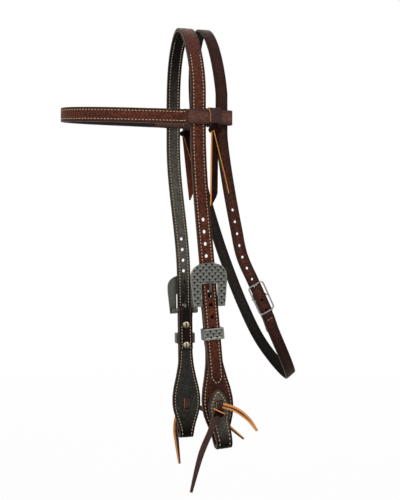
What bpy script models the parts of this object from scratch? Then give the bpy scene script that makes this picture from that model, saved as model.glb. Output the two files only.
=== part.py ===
"""A western browband headstall, hanging empty, in metres with +Z up.

The horse would face -X. The near (left) side is at -Y and the off side at +Y. The origin is the
middle of the crown's underside, where it rests on the poll. Straps are ribbons swept along paths,
and the buckles, keepers, screws and ties are placed from the same paths.
"""
import math
from collections import namedtuple

import bmesh
import bpy
from mathutils import Matrix, Vector
from mathutils.geometry import interpolate_bezier

MM = 0.001

# Leather and fits
STRAP_WIDTH = 15.9 * MM
OUTER_PLY = 2.4 * MM
LINING_PLY = 1.7 * MM
THROAT_WIDTH = 12.7 * MM
THROAT_PLY = 2.6 * MM
THONG_WIDTH = 7.0 * MM
THONG_PLY = 2.0 * MM
FIT = 0.3 * MM
CUT_OVERRUN = 3.0 * MM
HOLE_RADIUS = 2.1 * MM
HOLE_PITCH = 12.7 * MM

# Overall shape
HALF_SPREAD = 61.0 * MM
ARCH_DROP = 78.0 * MM
ARCH_POINT = 1.12
LEG_SETBACK = 3.0 * MM
STRAIGHT_DROP = 116.0 * MM
BAR_DROP = 304.2 * MM
CROWN_SLIP = 8.5 * MM

# Browband
BROW_WIDTH = 15.0 * MM
BROW_DROP = 95.8 * MM
BROW_CANT = 7.2 * MM
BROW_REACH = 133.5 * MM
BROW_STRAIGHT = 24.0 * MM
TAB_CLEARANCE = 0.8 * MM
TAB_REAR = 36.5 * MM
TAB_STEP_LENGTH = 9.0 * MM
BROW_STITCHED_START = 11.4 * MM

# Throatlatch
THROAT_SETBACK = 17.8 * MM
THROAT_LEG_SETBACK = 25.2 * MM
THROAT_LIFT = 1.6 * MM
THROAT_DROP = 383.0 * MM
THROAT_REACH = 103.0 * MM
THROAT_LEAN = math.radians(28.0)
THROAT_TURN_IN = math.radians(10.5)
THROAT_FOOT_LEAN = math.radians(38.0)
THROAT_BUCKLE_REAR = 68.6 * MM
THROAT_BUCKLE_DROP = 290.7 * MM
THROAT_BUCKLE_SPREAD = 52.0 * MM
THROAT_BILLET = 25.0 * MM
THROAT_FOOT_LINE = 24.0 * MM
THROAT_STRAIGHT = 21.0 * MM
THROAT_HOLES_ABOVE = 7
THROAT_HOLES_BELOW = 2
THROAT_HOLE_RADIUS = 1.6 * MM

# Cheek strap, measured down from the buckle bar
BILLET_LENGTH = 88.5 * MM
BILLET_POINT = 9.5 * MM
TONGUE_HOLE_RISE = 8.7 * MM
TONGUE_HOLE_LENGTH = 8.0 * MM
HOLES_ABOVE = 6
HOLES_BELOW = 3
LINE_HOLES = 2
CHAPE_END = 46.0 * MM
UPPER_SCREW = 17.0 * MM
LOWER_SCREW = 41.0 * MM
BIT_END = 152.0 * MM
BIT_LOOP_GAP = 12.0 * MM
BIT_LOOP_RADIUS = 4.8 * MM
FLAP_TIP = 91.0 * MM
FLAP_CLOSE = 121.0 * MM
FLAP_GAP = 0.6 * MM
PADDLE_HALF = 16.7 * MM
FLAP_HALF = 11.3 * MM
UPPER_TIE_HOLE = 104.0 * MM
LOWER_TIE_HOLE = 115.0 * MM

# Cart buckle
BAR_RADIUS = 1.7 * MM
BUCKLE_TOP = 41.8 * MM
BUCKLE_SHOULDER = 24.0 * MM
BUCKLE_HALF = 19.5 * MM
BUCKLE_FOOT_HALF = 16.6 * MM
BUCKLE_FOOT = 4.0 * MM
BUCKLE_END_TURN = math.radians(8.0)
BUCKLE_SQUARENESS = 0.68
BUCKLE_PLATE = 2.5 * MM
BUCKLE_DOME = 1.4 * MM
WINDOW_TOP = 19.8 * MM
WINDOW_HALF = 9.2 * MM
POST_INNER = 8.7 * MM
POST_OUTER = 14.9 * MM
POST_HALF = 2.6 * MM
TONGUE_WIDTH = 3.6 * MM
TONGUE_PLY = 2.0 * MM
TONGUE_EYE = 1.4 * MM
TONGUE_REST = 2.0 * MM
TONGUE_ROOT_SHARE = 0.66
TONGUE_BEND_SHARE = 1.4

# Keeper and screws
KEEPER_HEIGHT = 12.0 * MM
KEEPER_WIDTH = 22.6 * MM
KEEPER_BACK = 1.5 * MM
KEEPER_PLATE = 2.2 * MM
KEEPER_CLEARANCE = 0.4 * MM
KEEPER_SIDE_CLEARANCE = 0.7 * MM
SCREW_TUBE = 1.8 * MM
SCREW_BORE = 1.3 * MM
SCREW_SHANK = 1.0 * MM
SCREW_SHANK_LENGTH = 2.2 * MM
SCREW_CAP = 4.3 * MM
SCREW_CAP_PLY = 0.9 * MM
SCREW_DOME = 4.5 * MM
SCREW_DOME_HEIGHT = 2.2 * MM

# Throatlatch buckle
THROAT_BAR_RADIUS = 1.3 * MM
THROAT_FRAME_LENGTH = 35.5 * MM
THROAT_RAIL = 2.1 * MM
THROAT_SIDE_CLEARANCE = 1.1 * MM
THROAT_POST_HALF = 2.4 * MM
THROAT_TONGUE_RISE = 10.0 * MM
THROAT_LONG_HOLE = 6.4 * MM
THROAT_TONGUE_WIDTH = 2.6 * MM
THROAT_TONGUE_PLY = 1.6 * MM
THROAT_TONGUE_EYE = 1.1 * MM

# Ties
TAIL_REACH = 100.0 * MM
TAIL_WIDTH = 6.3 * MM
TAIL_TIP = 2.8 * MM
TIE_FRONT = 9.7 * MM
TIE_WIDTH = 8.1 * MM
TIE_PLY = 1.8 * MM
TIE_TAIL_WIDTH = 8.0 * MM
TIE_TAIL_PLY = 1.6 * MM
TIE_TAIL_TIP = 2.6 * MM
TIE_CROSSED_WIDTH = 4.6 * MM
TIE_STRAIGHT_START = 1.6 * MM
TIE_STRAIGHT_TAIL = 83.0 * MM
TIE_CROSSED_TAIL = 70.0 * MM
TIE_KNOT = 5.0 * MM

# Worked-out stack of layers, as distances out from the buckle bar's axis
CHEEK_IN = BAR_RADIUS + FIT
CHEEK_OUT = CHEEK_IN + OUTER_PLY
CROWN_IN = CHEEK_OUT + FIT
CROWN_PLY = LINING_PLY + FIT + OUTER_PLY
CROWN_OUT = CROWN_IN + CROWN_PLY
PLATE_IN = CROWN_OUT + FIT
PLATE_OUT = PLATE_IN + BUCKLE_PLATE
LINING_OUT = CHEEK_IN - FIT
LINING_IN = LINING_OUT - LINING_PLY
CHAPE_MID = LINING_IN - FIT - OUTER_PLY / 2
FLAP_MID = CHEEK_OUT + FLAP_GAP + OUTER_PLY / 2
FLAP_OUT = FLAP_MID + OUTER_PLY / 2 + FIT + LINING_PLY
STRAP_HALF = STRAP_WIDTH / 2
THROAT_HALF = THROAT_WIDTH / 2
THROAT_FRAME_HALF = THROAT_HALF + THROAT_SIDE_CLEARANCE + THROAT_RAIL
LINE_RISE = TONGUE_HOLE_RISE + (LINE_HOLES + 0.5) * HOLE_PITCH
KEEPER_DROP = LOWER_SCREW - SCREW_TUBE - FIT - KEEPER_HEIGHT / 2
THROAT_SPREAD = HALF_SPREAD - TAB_CLEARANCE + FIT
TAB_MID_IN = HALF_SPREAD - TAB_CLEARANCE - LINING_PLY / 2
TAB_MID_OUT = HALF_SPREAD + CROWN_PLY + TAB_CLEARANCE + LINING_PLY / 2

ROUND_SIDES = 16
PEG_SIDES = 12
FOLD_STEPS = 8
ARCH_STEPS = 14

# Billet's pointed tip: (share of the point's length, share of the strap's half width)
BILLET_POINT_SHARES = ((0.0, 1.0), (0.4, 0.72), (0.75, 0.42), (1.0, 0.13))
# Paddle outline: (share of the way from screws to bit end, share of the extra half width)
PADDLE_SHARES = (
    (0.0, 0.0), (0.12, 0.05), (0.22, 0.17), (0.35, 0.50), (0.45, 0.81), (0.55, 1.0), (0.63, 1.0),
    (0.70, 0.88), (0.78, 0.58), (0.85, 0.28), (0.94, 0.03), (1.0, 0.0),
)
# Flap outline: (share of the way from tip to bit end, share of the flap's half width)
FLAP_SHARES = (
    (0.0, 0.10), (0.03, 0.32), (0.09, 0.58), (0.18, 0.84), (0.28, 1.0), (0.38, 1.0), (0.62, 0.80),
    (1.0, 0.70),
)
# Domed screw head: (share of its radius, share of its height)
DOME_SHARES = ((1.0, 0.0), (0.97, 0.3), (0.8, 0.68), (0.45, 0.93), (0.12, 1.0))
# Throatlatch route below the browband: shares of its drop, its reach and its half spread
NEAR_THROAT_SHARES = (
    (0.36, 0.09, 1.0), (0.46, 0.148, 1.0), (0.57, 0.226, 1.0), (0.645, 0.29, 0.985),
)
OFF_THROAT_SHARES = (
    (0.36, 0.10, 1.0), (0.46, 0.19, 1.0), (0.60, 0.35, 0.99), (0.70, 0.48, 0.95), (0.80, 0.62, 0.86),
    (0.90, 0.775, 0.66), (0.97, 0.925, 0.36),
)
FOOT_THROAT_SHARES = ((1.0, 1.0, 0.0), (0.965, 0.905, -0.40), (0.856, 0.676, -0.727))

# Where a straight tail's sections lie, as shares of its length: the last stretch is the cut tip
TAIL_STEP_SHARES = (0.0, 0.5, 0.9, 1.0)
# Bit tie tails from the knot: (across, out, down) as shares of TAIL_REACH
NEAR_HANGING_SHARES = (
    (-0.03, 0.0, 0.02), (-0.13, 0.06, 0.20), (-0.24, 0.09, 0.38), (-0.30, 0.09, 0.52), (-0.40, 0.09, 0.80),
)
NEAR_REAR_SHARES = ((0.03, 0.0, -0.02), (0.15, 0.05, 0.03), (0.27, 0.08, 0.14), (0.35, 0.09, 0.27))
OFF_HANGING_SHARES = (
    (-0.03, 0.0, 0.02), (-0.08, 0.06, 0.20), (-0.09, 0.12, 0.36), (-0.08, 0.12, 0.50), (-0.05, 0.12, 0.78),
)
OFF_REAR_SHARES = ((0.03, 0.0, 0.0), (0.18, 0.05, 0.09), (0.42, 0.09, 0.24), (0.76, 0.10, 0.53))
TAIL_SHARES = {
    "near": (("hanging", NEAR_HANGING_SHARES), ("rear", NEAR_REAR_SHARES)),
    "off": (("hanging", OFF_HANGING_SHARES), ("rear", OFF_REAR_SHARES)),
}

Side = namedtuple("Side", "name sign slip leg_rear bar_rear lean pull straight_drift crossed_drift")
SIDES = (
    Side(
        "near", -1, CROWN_SLIP, -0.2 * MM, 12.6 * MM, math.radians(4.9), 1.7 * MM, -1.0 * MM, 16.5 * MM,
    ),
    Side("off", 1, -CROWN_SLIP, -1.2 * MM, 12.0 * MM, math.radians(0.9), 0.0, 8.5 * MM, 11.0 * MM),
)
Frame = namedtuple("Frame", "origin across out down")
Station = namedtuple("Station", "point across out")

UP = Vector((0.0, 0.0, 1.0))
REAR = Vector((1.0, 0.0, 0.0))


def clear_scene():
    for thing in list(bpy.data.objects):
        bpy.data.objects.remove(thing, do_unlink=True)


def material(name, colour, roughness, metallic=0.0):
    made = bpy.data.materials.new(name)
    made.use_nodes = True
    shader = made.node_tree.nodes["Principled BSDF"]
    shader.inputs["Base Color"].default_value = (*colour, 1.0)
    shader.inputs["Roughness"].default_value = roughness
    shader.inputs["Metallic"].default_value = metallic
    return made


def finish_object(name, mesh, look, origin=None):
    """Turn a bmesh into an object whose origin sits at the given world point."""
    origin = origin or Vector()
    bmesh.ops.recalc_face_normals(mesh, faces=mesh.faces)
    bmesh.ops.translate(mesh, verts=mesh.verts, vec=-origin)
    data = bpy.data.meshes.new(name)
    mesh.to_mesh(data)
    mesh.free()
    data.shade_smooth()
    data.set_sharp_from_angle(angle=math.radians(35))
    if look:
        data.materials.append(look)
    made = bpy.data.objects.new(name, data)
    made.location = origin
    bpy.context.collection.objects.link(made)
    return made


def tool_object(name, mesh):
    """A cutter or an added shape: it shapes other objects and isn't a piece itself."""
    made = finish_object(name, mesh, None)
    made.hide_render = True
    made.display_type = "WIRE"
    return made


def combine(target, tool, operation):
    step = target.modifiers.new(f"{operation.lower()} {tool.name}", "BOOLEAN")
    step.operation = operation
    step.object = tool
    step.solver = "EXACT"


# Paths

def smooth_step(share):
    share = min(max(share, 0.0), 1.0)
    return share * share * (3 - 2 * share)


def between(table, share):
    """The value at a share of the way, on straight lines between a table's rows."""
    for (low, first), (high, last) in zip(table, table[1:]):
        if share <= high:
            return first + (last - first) * max(share - low, 0.0) / (high - low)
    return table[-1][1]


def curve_through(knots, first_way, last_way, steps):
    """Points on a smooth curve through knots, with the directions at both ends given."""
    ways = [first_way.normalized()]
    ways += [(after - before).normalized() for before, after in zip(knots, knots[2:])]
    ways.append(last_way.normalized())
    points = []
    for i in range(len(knots) - 1):
        reach = (knots[i + 1] - knots[i]).length / 3
        handles = knots[i] + ways[i] * reach, knots[i + 1] - ways[i + 1] * reach
        points += interpolate_bezier(knots[i], *handles, knots[i + 1], steps + 1)[:-1]
    return points + [knots[-1]]


def stations(points, hints, turn):
    """Frames along a path: out is square to the path and to the strap's width."""
    made = []
    for i, point in enumerate(points):
        before = points[max(i - 1, 0)]
        after = points[min(i + 1, len(points) - 1)]
        along = (point - before).normalized() + (after - point).normalized()
        along.normalize()
        across = (hints[i] - along * hints[i].dot(along)).normalized()
        made.append(Station(point, across, across.cross(along) * turn))
    return made


def skin_rings(mesh, rings):
    """Join rings of corners one to the next, and close both ends."""
    for first, second in zip(rings, rings[1:]):
        for i in range(len(first)):
            j = (i + 1) % len(first)
            mesh.faces.new((first[i], first[j], second[j], second[i]))
    mesh.faces.new(rings[0])
    mesh.faces.new(list(reversed(rings[-1])))


def ribbon(path, halves, inner, outer):
    """A closed strap between two offsets from a path, with a half width for each station."""
    mesh = bmesh.new()
    rings = []
    for (point, across, out), half in zip(path, halves):
        corners = ((-half, inner), (half, inner), (half, outer), (-half, outer))
        rings.append([mesh.verts.new(point + across * x + out * y) for x, y in corners])
    skin_rings(mesh, rings)
    return mesh


def behind_poll(rear, sideways, level):
    """A point whose rearward distance is measured from the crown's hanging legs."""
    return Vector((LEG_SETBACK + rear, sideways, level))


def place(frame, across, out, down):
    return frame.origin + frame.across * across + frame.out * out + frame.down * down


def cheek_frame(side):
    """The frame of a cheek buckle's bar: across to the rear, out from the horse, down the strap."""
    across = Vector((math.cos(side.lean), 0.0, math.sin(side.lean)))
    down = Vector((math.sin(side.lean), 0.0, -math.cos(side.lean)))
    out = Vector((0.0, side.sign, 0.0))
    origin = behind_poll(side.bar_rear, side.sign * (HALF_SPREAD - CROWN_IN), side.slip - BAR_DROP)
    return Frame(origin, across, out, down)


def throat_frame():
    """The frame of the throatlatch buckle's centre bar, on the near side."""
    across = Vector((math.cos(THROAT_LEAN), 0.0, math.sin(THROAT_LEAN)))
    flat_down = Vector((math.sin(THROAT_LEAN), 0.0, -math.cos(THROAT_LEAN)))
    inward = Vector((0.0, 1.0, 0.0))
    down = flat_down * math.cos(THROAT_TURN_IN) + inward * math.sin(THROAT_TURN_IN)
    out = down.cross(across)
    origin = behind_poll(THROAT_BUCKLE_REAR, -THROAT_BUCKLE_SPREAD, -THROAT_BUCKLE_DROP)
    return Frame(origin, across, out, down)


def box_mesh(frame, across, out, down):
    """A box between pairs of distances along a frame's three directions."""
    mesh = bmesh.new()
    corners = [mesh.verts.new(place(frame, x, y, z)) for x in across for y in out for z in down]
    for ring in ((0, 1, 3, 2), (4, 6, 7, 5), (0, 4, 5, 1), (2, 3, 7, 6), (0, 2, 6, 4), (1, 5, 7, 3)):
        mesh.faces.new([corners[i] for i in ring])
    return mesh


def rod_mesh(rods):
    """Cylinders or cones in one mesh, each as (start, end, radius at start, at end, sides)."""
    mesh = bmesh.new()
    for start, end, first, last, sides in rods:
        way = end - start
        turn = way.to_track_quat("Z", "Y").to_matrix().to_4x4()
        bmesh.ops.create_cone(
            mesh, cap_ends=True, segments=sides, radius1=first, radius2=last,
            depth=way.length, matrix=Matrix.Translation((start + end) / 2) @ turn,
        )
    return mesh


# Crown

def leg_points(side):
    """One leg of the crown's inner face, from just off the poll down to the billet's tip."""
    frame = cheek_frame(side)
    points = []
    for i in range(1, ARCH_STEPS + 1):
        turn = math.pi / 2 * i / ARCH_STEPS
        rear = (LEG_SETBACK + side.leg_rear) * smooth_step(1 - math.cos(turn))
        spread = side.sign * HALF_SPREAD * math.sin(turn) ** ARCH_POINT
        points.append(Vector((rear, spread, ARCH_DROP * (math.cos(turn) - 1))))
    straight_end = behind_poll(side.leg_rear, side.sign * HALF_SPREAD, -STRAIGHT_DROP)
    line_start = place(frame, 0.0, CROWN_IN, -LINE_RISE)
    points += curve_through([straight_end, line_start], -UP, frame.down, 2 * FOLD_STEPS)
    for i in range(1 - LINE_HOLES, HOLES_BELOW + 1):
        down = (i - 0.5) * HOLE_PITCH - TONGUE_HOLE_RISE - side.pull
        points.append(place(frame, 0.0, CROWN_IN, down))
    for share, _ in BILLET_POINT_SHARES:
        points.append(place(frame, 0.0, CROWN_IN, BILLET_LENGTH - BILLET_POINT * (1 - share)))
    return points


def leg_halves(count):
    """Half widths for one leg: full until the billet's pointed tip."""
    halves = [STRAP_HALF] * (count - len(BILLET_POINT_SHARES))
    return halves + [STRAP_HALF * wide for _, wide in BILLET_POINT_SHARES]


def crown_path():
    legs = [leg_points(side) for side in SIDES]
    points = list(reversed(legs[0])) + [Vector()] + legs[1]
    halves = list(reversed(leg_halves(len(legs[0])))) + [STRAP_HALF] + leg_halves(len(legs[1]))
    return stations(points, [REAR] * len(points), 1.0), halves


def crown_holes(side):
    """Cutters for one leg's punched holes and for the long hole that the tongue takes."""
    frame = cheek_frame(side)
    through = (CROWN_IN - CUT_OVERRUN, CROWN_OUT + CUT_OVERRUN)
    rods = []
    for i in range(-HOLES_ABOVE, HOLES_BELOW + 1):
        if i == 0:
            continue
        down = i * HOLE_PITCH - TONGUE_HOLE_RISE - side.pull
        across = leg_sway(side, down)
        ends = [place(frame, across, out, down) for out in through]
        rods.append((*ends, HOLE_RADIUS, HOLE_RADIUS, PEG_SIDES))
    pegs = tool_object(f"{side.name}_crown_punch", rod_mesh(rods))
    top = -TONGUE_HOLE_RISE - side.pull - TONGUE_HOLE_LENGTH / 2
    reach = (top, top + TONGUE_HOLE_LENGTH + side.pull)
    slot = box_mesh(frame, (-HOLE_RADIUS, HOLE_RADIUS), through, reach)
    return pegs, tool_object(f"{side.name}_crown_slot", slot)


def leg_sway(side, down):
    """How far the crown leg's middle lies from the buckle's line, above where that line starts."""
    if down >= -LINE_RISE:
        return 0.0
    frame = cheek_frame(side)
    level = place(frame, 0.0, CROWN_IN, down).z
    points = leg_points(side)
    for upper, lower in zip(points, points[1:]):
        if lower.z <= level <= upper.z:
            share = (upper.z - level) / (upper.z - lower.z)
            return (upper.lerp(lower, share) - place(frame, 0.0, CROWN_IN, down)).dot(frame.across)
    return 0.0


def make_crown(looks):
    path, halves = crown_path()
    lining = finish_object("crown_lining", ribbon(path, halves, 0.0, LINING_PLY), looks["lining"])
    outer = ribbon(path, halves, LINING_PLY + FIT, CROWN_PLY)
    strap = finish_object("crown_strap", outer, looks["leather"])
    for side in SIDES:
        for cutter in crown_holes(side):
            combine(strap, cutter, "DIFFERENCE")
            combine(lining, cutter, "DIFFERENCE")


# Cheek straps

def paddle_half(down):
    share = (down - LOWER_SCREW) / (BIT_END - LOWER_SCREW)
    return STRAP_HALF + (PADDLE_HALF - STRAP_HALF) * between(PADDLE_SHARES, share)


def flap_half(down):
    share = (down - FLAP_TIP) / (BIT_END - FLAP_TIP)
    return FLAP_HALF * between(FLAP_SHARES, share)


def spread_out(first, last, count):
    return [first + (last - first) * i / count for i in range(count + 1)]


def chape_spots():
    """The turned-back end, from its cut edge up the inside and over the bar, as (out, down, half)."""
    fold = CHEEK_IN + OUTER_PLY / 2
    clear = UPPER_SCREW - SCREW_DOME - FIT
    spots = [(CHAPE_MID, down, STRAP_HALF) for down in (CHAPE_END, clear)]
    for turn in spread_out(0.0, math.pi, 2 * FOLD_STEPS):
        spots.append((-fold * math.cos(turn), -fold * math.sin(turn), STRAP_HALF))
    return spots


def paddle_spots(top):
    """The body of the cheek strap, from a height down through the paddle."""
    middle = CHEEK_IN + OUTER_PLY / 2
    last = BIT_END - LINING_PLY - FIT - OUTER_PLY / 2 - BIT_LOOP_RADIUS
    return [(middle, down, paddle_half(down)) for down in spread_out(top, last, 3 * FOLD_STEPS)]


def loop_spots():
    """The bit end: round the bottom with a flat seat, then up and in to the pointed flap."""
    middle = CHEEK_IN + OUTER_PLY / 2
    radius = BIT_LOOP_RADIUS
    seat = BIT_END - LINING_PLY - FIT - OUTER_PLY / 2
    rear = middle + OUTER_PLY + BIT_LOOP_GAP
    spots = []
    for turn in spread_out(0.0, math.pi / 2, FOLD_STEPS)[1:]:
        out = middle + radius * (1 - math.cos(turn))
        spots.append((out, seat - radius * (1 - math.sin(turn)), paddle_half(seat)))
    for turn in spread_out(math.pi / 2, 0.0, FOLD_STEPS):
        out = rear - radius * (1 - math.cos(turn))
        spots.append((out, seat - radius * (1 - math.sin(turn)), paddle_half(seat)))
    for down in spread_out(seat - radius, FLAP_CLOSE, 2 * FOLD_STEPS)[1:]:
        share = smooth_step((down - FLAP_CLOSE) / (seat - radius - FLAP_CLOSE))
        half = max(flap_half(down), STRAP_HALF)
        spots.append((FLAP_MID + (rear - FLAP_MID) * share, down, half))
    for share, _ in reversed(FLAP_SHARES):
        down = FLAP_TIP + (BIT_END - FLAP_TIP) * share
        if down < FLAP_CLOSE:
            spots.append((FLAP_MID, down, flap_half(down)))
    return spots


def cheek_path(side, spots):
    frame = cheek_frame(side)
    points = [place(frame, 0.0, out, down) for out, down, _ in spots]
    path = stations(points, [frame.across] * len(points), side.sign)
    return path, [half for _, _, half in spots]


def cheek_cutters(side):
    """Cutters for the screw holes, the cap seats, the tongue's slot and the tie's slots."""
    frame = cheek_frame(side)
    through = (CHAPE_MID - OUTER_PLY - CUT_OVERRUN, CROWN_IN + CUT_OVERRUN)
    rods = []
    for down in (UPPER_SCREW, LOWER_SCREW):
        radius = SCREW_TUBE + FIT
        ends = [place(frame, 0.0, out, down) for out in through]
        rods.append((*ends, radius, radius, PEG_SIDES))
    tubes = tool_object(f"{side.name}_screw_drill", rod_mesh(rods))
    rods = []
    for down in (UPPER_SCREW, LOWER_SCREW):
        radius = SCREW_CAP + FIT
        seat = CHEEK_OUT - SCREW_CAP_PLY - FIT
        ends = [place(frame, 0.0, out, down) for out in (seat, CHEEK_OUT + CUT_OVERRUN)]
        rods.append((*ends, radius, radius, ROUND_SIDES))
    seats = tool_object(f"{side.name}_cap_seat", rod_mesh(rods))
    half = TONGUE_WIDTH / 2 + 2 * FIT
    eye = BAR_RADIUS + FIT + TONGUE_EYE + 3 * FIT
    slot = box_mesh(frame, (-half, half), (-CROWN_IN - FIT, CROWN_IN + FIT), (-CROWN_IN - eye, eye))
    return [tubes, seats, tool_object(f"{side.name}_tongue_slot", slot)] + tie_slots(side)


def tie_slots(side):
    frame = cheek_frame(side)
    half = THONG_WIDTH / 2 + 2 * FIT
    reach = (LINING_IN - CUT_OVERRUN, FLAP_OUT + CUT_OVERRUN)
    made = []
    for name, middle in (("upper", UPPER_TIE_HOLE), ("lower", LOWER_TIE_HOLE)):
        depth = THONG_PLY / 2 + 2 * FIT
        mesh = box_mesh(frame, (-half, half), reach, (middle - depth, middle + depth))
        made.append(tool_object(f"{side.name}_{name}_tie_slot", mesh))
    return made


def make_cheek(side, looks):
    spots = chape_spots() + paddle_spots(LOWER_SCREW) + loop_spots()
    path, halves = cheek_path(side, spots)
    strap = finish_object(
        f"{side.name}_cheek_strap", ribbon(path, halves, -OUTER_PLY / 2, OUTER_PLY / 2), looks["leather"]
    )
    lining_top = LOWER_SCREW + SCREW_TUBE + 3 * FIT
    middle = CHEEK_IN + OUTER_PLY / 2
    spots = paddle_spots(lining_top) + loop_spots()
    path, halves = cheek_path(side, spots)
    flesh = -OUTER_PLY / 2 - FIT
    lining = finish_object(
        f"{side.name}_cheek_lining", ribbon(path, halves, flesh - LINING_PLY, flesh), looks["lining"]
    )
    tubes, seats, slot, upper, lower = cheek_cutters(side)
    for cutter in (tubes, seats, slot, upper, lower):
        combine(strap, cutter, "DIFFERENCE")
    for cutter in (upper, lower):
        combine(lining, cutter, "DIFFERENCE")


# Cart buckle

def dome(across):
    """How far the plate falls back towards its sides, from its level at the strap's edge."""
    return BUCKLE_DOME * (across ** 2 - STRAP_HALF ** 2) / BUCKLE_HALF ** 2


def buckle_plate(frame):
    """The arched plate before its window is cut: columns from the arch down to the foot."""
    mesh = bmesh.new()
    columns = []
    for turn in spread_out(BUCKLE_END_TURN, math.pi - BUCKLE_END_TURN, ROUND_SIDES):
        x = -BUCKLE_HALF * math.cos(turn)
        rise = (BUCKLE_TOP - BUCKLE_SHOULDER) * math.sin(turn) ** BUCKLE_SQUARENESS
        top = -BUCKLE_SHOULDER - rise
        past = max(abs(x) - BUCKLE_FOOT_HALF, 0.0) / (BUCKLE_HALF - BUCKLE_FOOT_HALF)
        foot = BUCKLE_FOOT - (BUCKLE_FOOT + BUCKLE_SHOULDER) * past
        corners = ((PLATE_IN, top), (PLATE_OUT, top), (PLATE_OUT, foot), (PLATE_IN, foot))
        columns.append([mesh.verts.new(place(frame, x, out - dome(x), z)) for out, z in corners])
    skin_rings(mesh, columns)
    return mesh


def make_buckle(side, looks):
    frame = cheek_frame(side)
    buckle = finish_object(f"{side.name}_buckle_frame", buckle_plate(frame), looks["silver"])
    window = box_mesh(
        frame, (-WINDOW_HALF, WINDOW_HALF), (CHEEK_OUT, PLATE_OUT + CUT_OVERRUN),
        (-WINDOW_TOP, BUCKLE_FOOT + CUT_OVERRUN),
    )
    combine(buckle, tool_object(f"{side.name}_buckle_window", window), "DIFFERENCE")
    for way, name in ((1, "rear"), (-1, "front")):
        sides = sorted((way * POST_INNER, way * POST_OUTER))
        post = box_mesh(frame, sides, (-POST_HALF, PLATE_IN + BUCKLE_PLATE / 4), (-POST_HALF, POST_HALF))
        combine(buckle, tool_object(f"{side.name}_{name}_post", post), "UNION")
    reach = POST_OUTER + CUT_OVERRUN
    drill = BAR_RADIUS + FIT
    ends = [place(frame, x, 0.0, 0.0) for x in (-reach, reach)]
    bore = tool_object(f"{side.name}_bar_drill", rod_mesh([(*ends, drill, drill, ROUND_SIDES)]))
    combine(buckle, bore, "DIFFERENCE")
    ends = [place(frame, x, 0.0, 0.0) for x in (-POST_OUTER, POST_OUTER)]
    rod = rod_mesh([(*ends, BAR_RADIUS, BAR_RADIUS, ROUND_SIDES)])
    finish_object(f"{side.name}_buckle_bar", rod, looks["silver"])


def tongue_mesh(frame, spots, halves, ply, turn):
    points = [place(frame, 0.0, out, down) for out, down in spots]
    return ribbon(stations(points, [frame.across] * len(points), turn), halves, -ply / 2, ply / 2)


def eye_mesh(frame, radius, half):
    ends = [place(frame, x, 0.0, 0.0) for x in (-half, half)]
    return rod_mesh([(*ends, radius, radius, ROUND_SIDES)])


def make_tongue(name, frame, look, bar_radius, eye_ply, width, ply, spots, turn):
    """A tongue: an eye that turns on the bar, and an arm through the billet to its rest."""
    eye = bar_radius + FIT + eye_ply
    halves = [width / 2] * (len(spots) - 1) + [width / 3]
    tongue = finish_object(name, tongue_mesh(frame, spots, halves, ply, turn), look, frame.origin)
    ring = tool_object(f"{name}_eye", eye_mesh(frame, eye, width / 2))
    bore = tool_object(f"{name}_bore", eye_mesh(frame, bar_radius + FIT, width / 2 + CUT_OVERRUN))
    combine(tongue, ring, "UNION")
    combine(tongue, bore, "DIFFERENCE")


def make_cheek_tongue(side, looks):
    root = BAR_RADIUS + FIT + TONGUE_EYE / 2
    over = PLATE_OUT + FIT + TONGUE_PLY / 2
    through = (CROWN_IN + CROWN_OUT) / 2
    spots = [
        (root / 2, -root),
        (CROWN_IN / 2, -TONGUE_HOLE_RISE * TONGUE_ROOT_SHARE),
        (through, -TONGUE_HOLE_RISE - FIT),
        (over - TONGUE_PLY, -TONGUE_HOLE_RISE * TONGUE_BEND_SHARE),
        (over, -WINDOW_TOP + TONGUE_PLY),
        (over, -WINDOW_TOP - TONGUE_REST),
    ]
    make_tongue(
        f"{side.name}_buckle_tongue", cheek_frame(side), looks["silver"], BAR_RADIUS, TONGUE_EYE,
        TONGUE_WIDTH, TONGUE_PLY, spots, side.sign,
    )


# Keeper and screws

def make_keeper(side, looks):
    """A flat loop: its back bar lies between the strap and its turned-back end."""
    frame = cheek_frame(side)
    back = CHEEK_IN - KEEPER_CLEARANCE - KEEPER_BACK
    front = CROWN_OUT + KEEPER_CLEARANCE + KEEPER_PLATE
    half = KEEPER_WIDTH / 2
    inside = STRAP_HALF + KEEPER_SIDE_CLEARANCE
    down = (KEEPER_DROP - KEEPER_HEIGHT / 2, KEEPER_DROP + KEEPER_HEIGHT / 2)
    mesh = box_mesh(frame, (-half, half), (back, front), down)
    keeper = finish_object(f"{side.name}_keeper", mesh, looks["silver"], place(frame, 0.0, 0.0, KEEPER_DROP))
    opening = box_mesh(
        frame, (-inside, inside), (back + KEEPER_BACK, front - KEEPER_PLATE),
        (down[0] - CUT_OVERRUN, down[1] + CUT_OVERRUN),
    )
    combine(keeper, tool_object(f"{side.name}_keeper_opening", opening), "DIFFERENCE")


def dome_mesh(frame, down, base, radius, height):
    """A domed screw head on the inside of the strap, with its shank."""
    mesh = bmesh.new()
    rings = []
    for wide, deep in DOME_SHARES:
        ring = []
        for turn in spread_out(0.0, 2 * math.pi, ROUND_SIDES)[:-1]:
            x = radius * wide * math.cos(turn)
            z = radius * wide * math.sin(turn)
            ring.append(mesh.verts.new(place(frame, x, base - height * deep, down + z)))
        rings.append(ring)
    skin_rings(mesh, rings)
    return mesh


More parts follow.
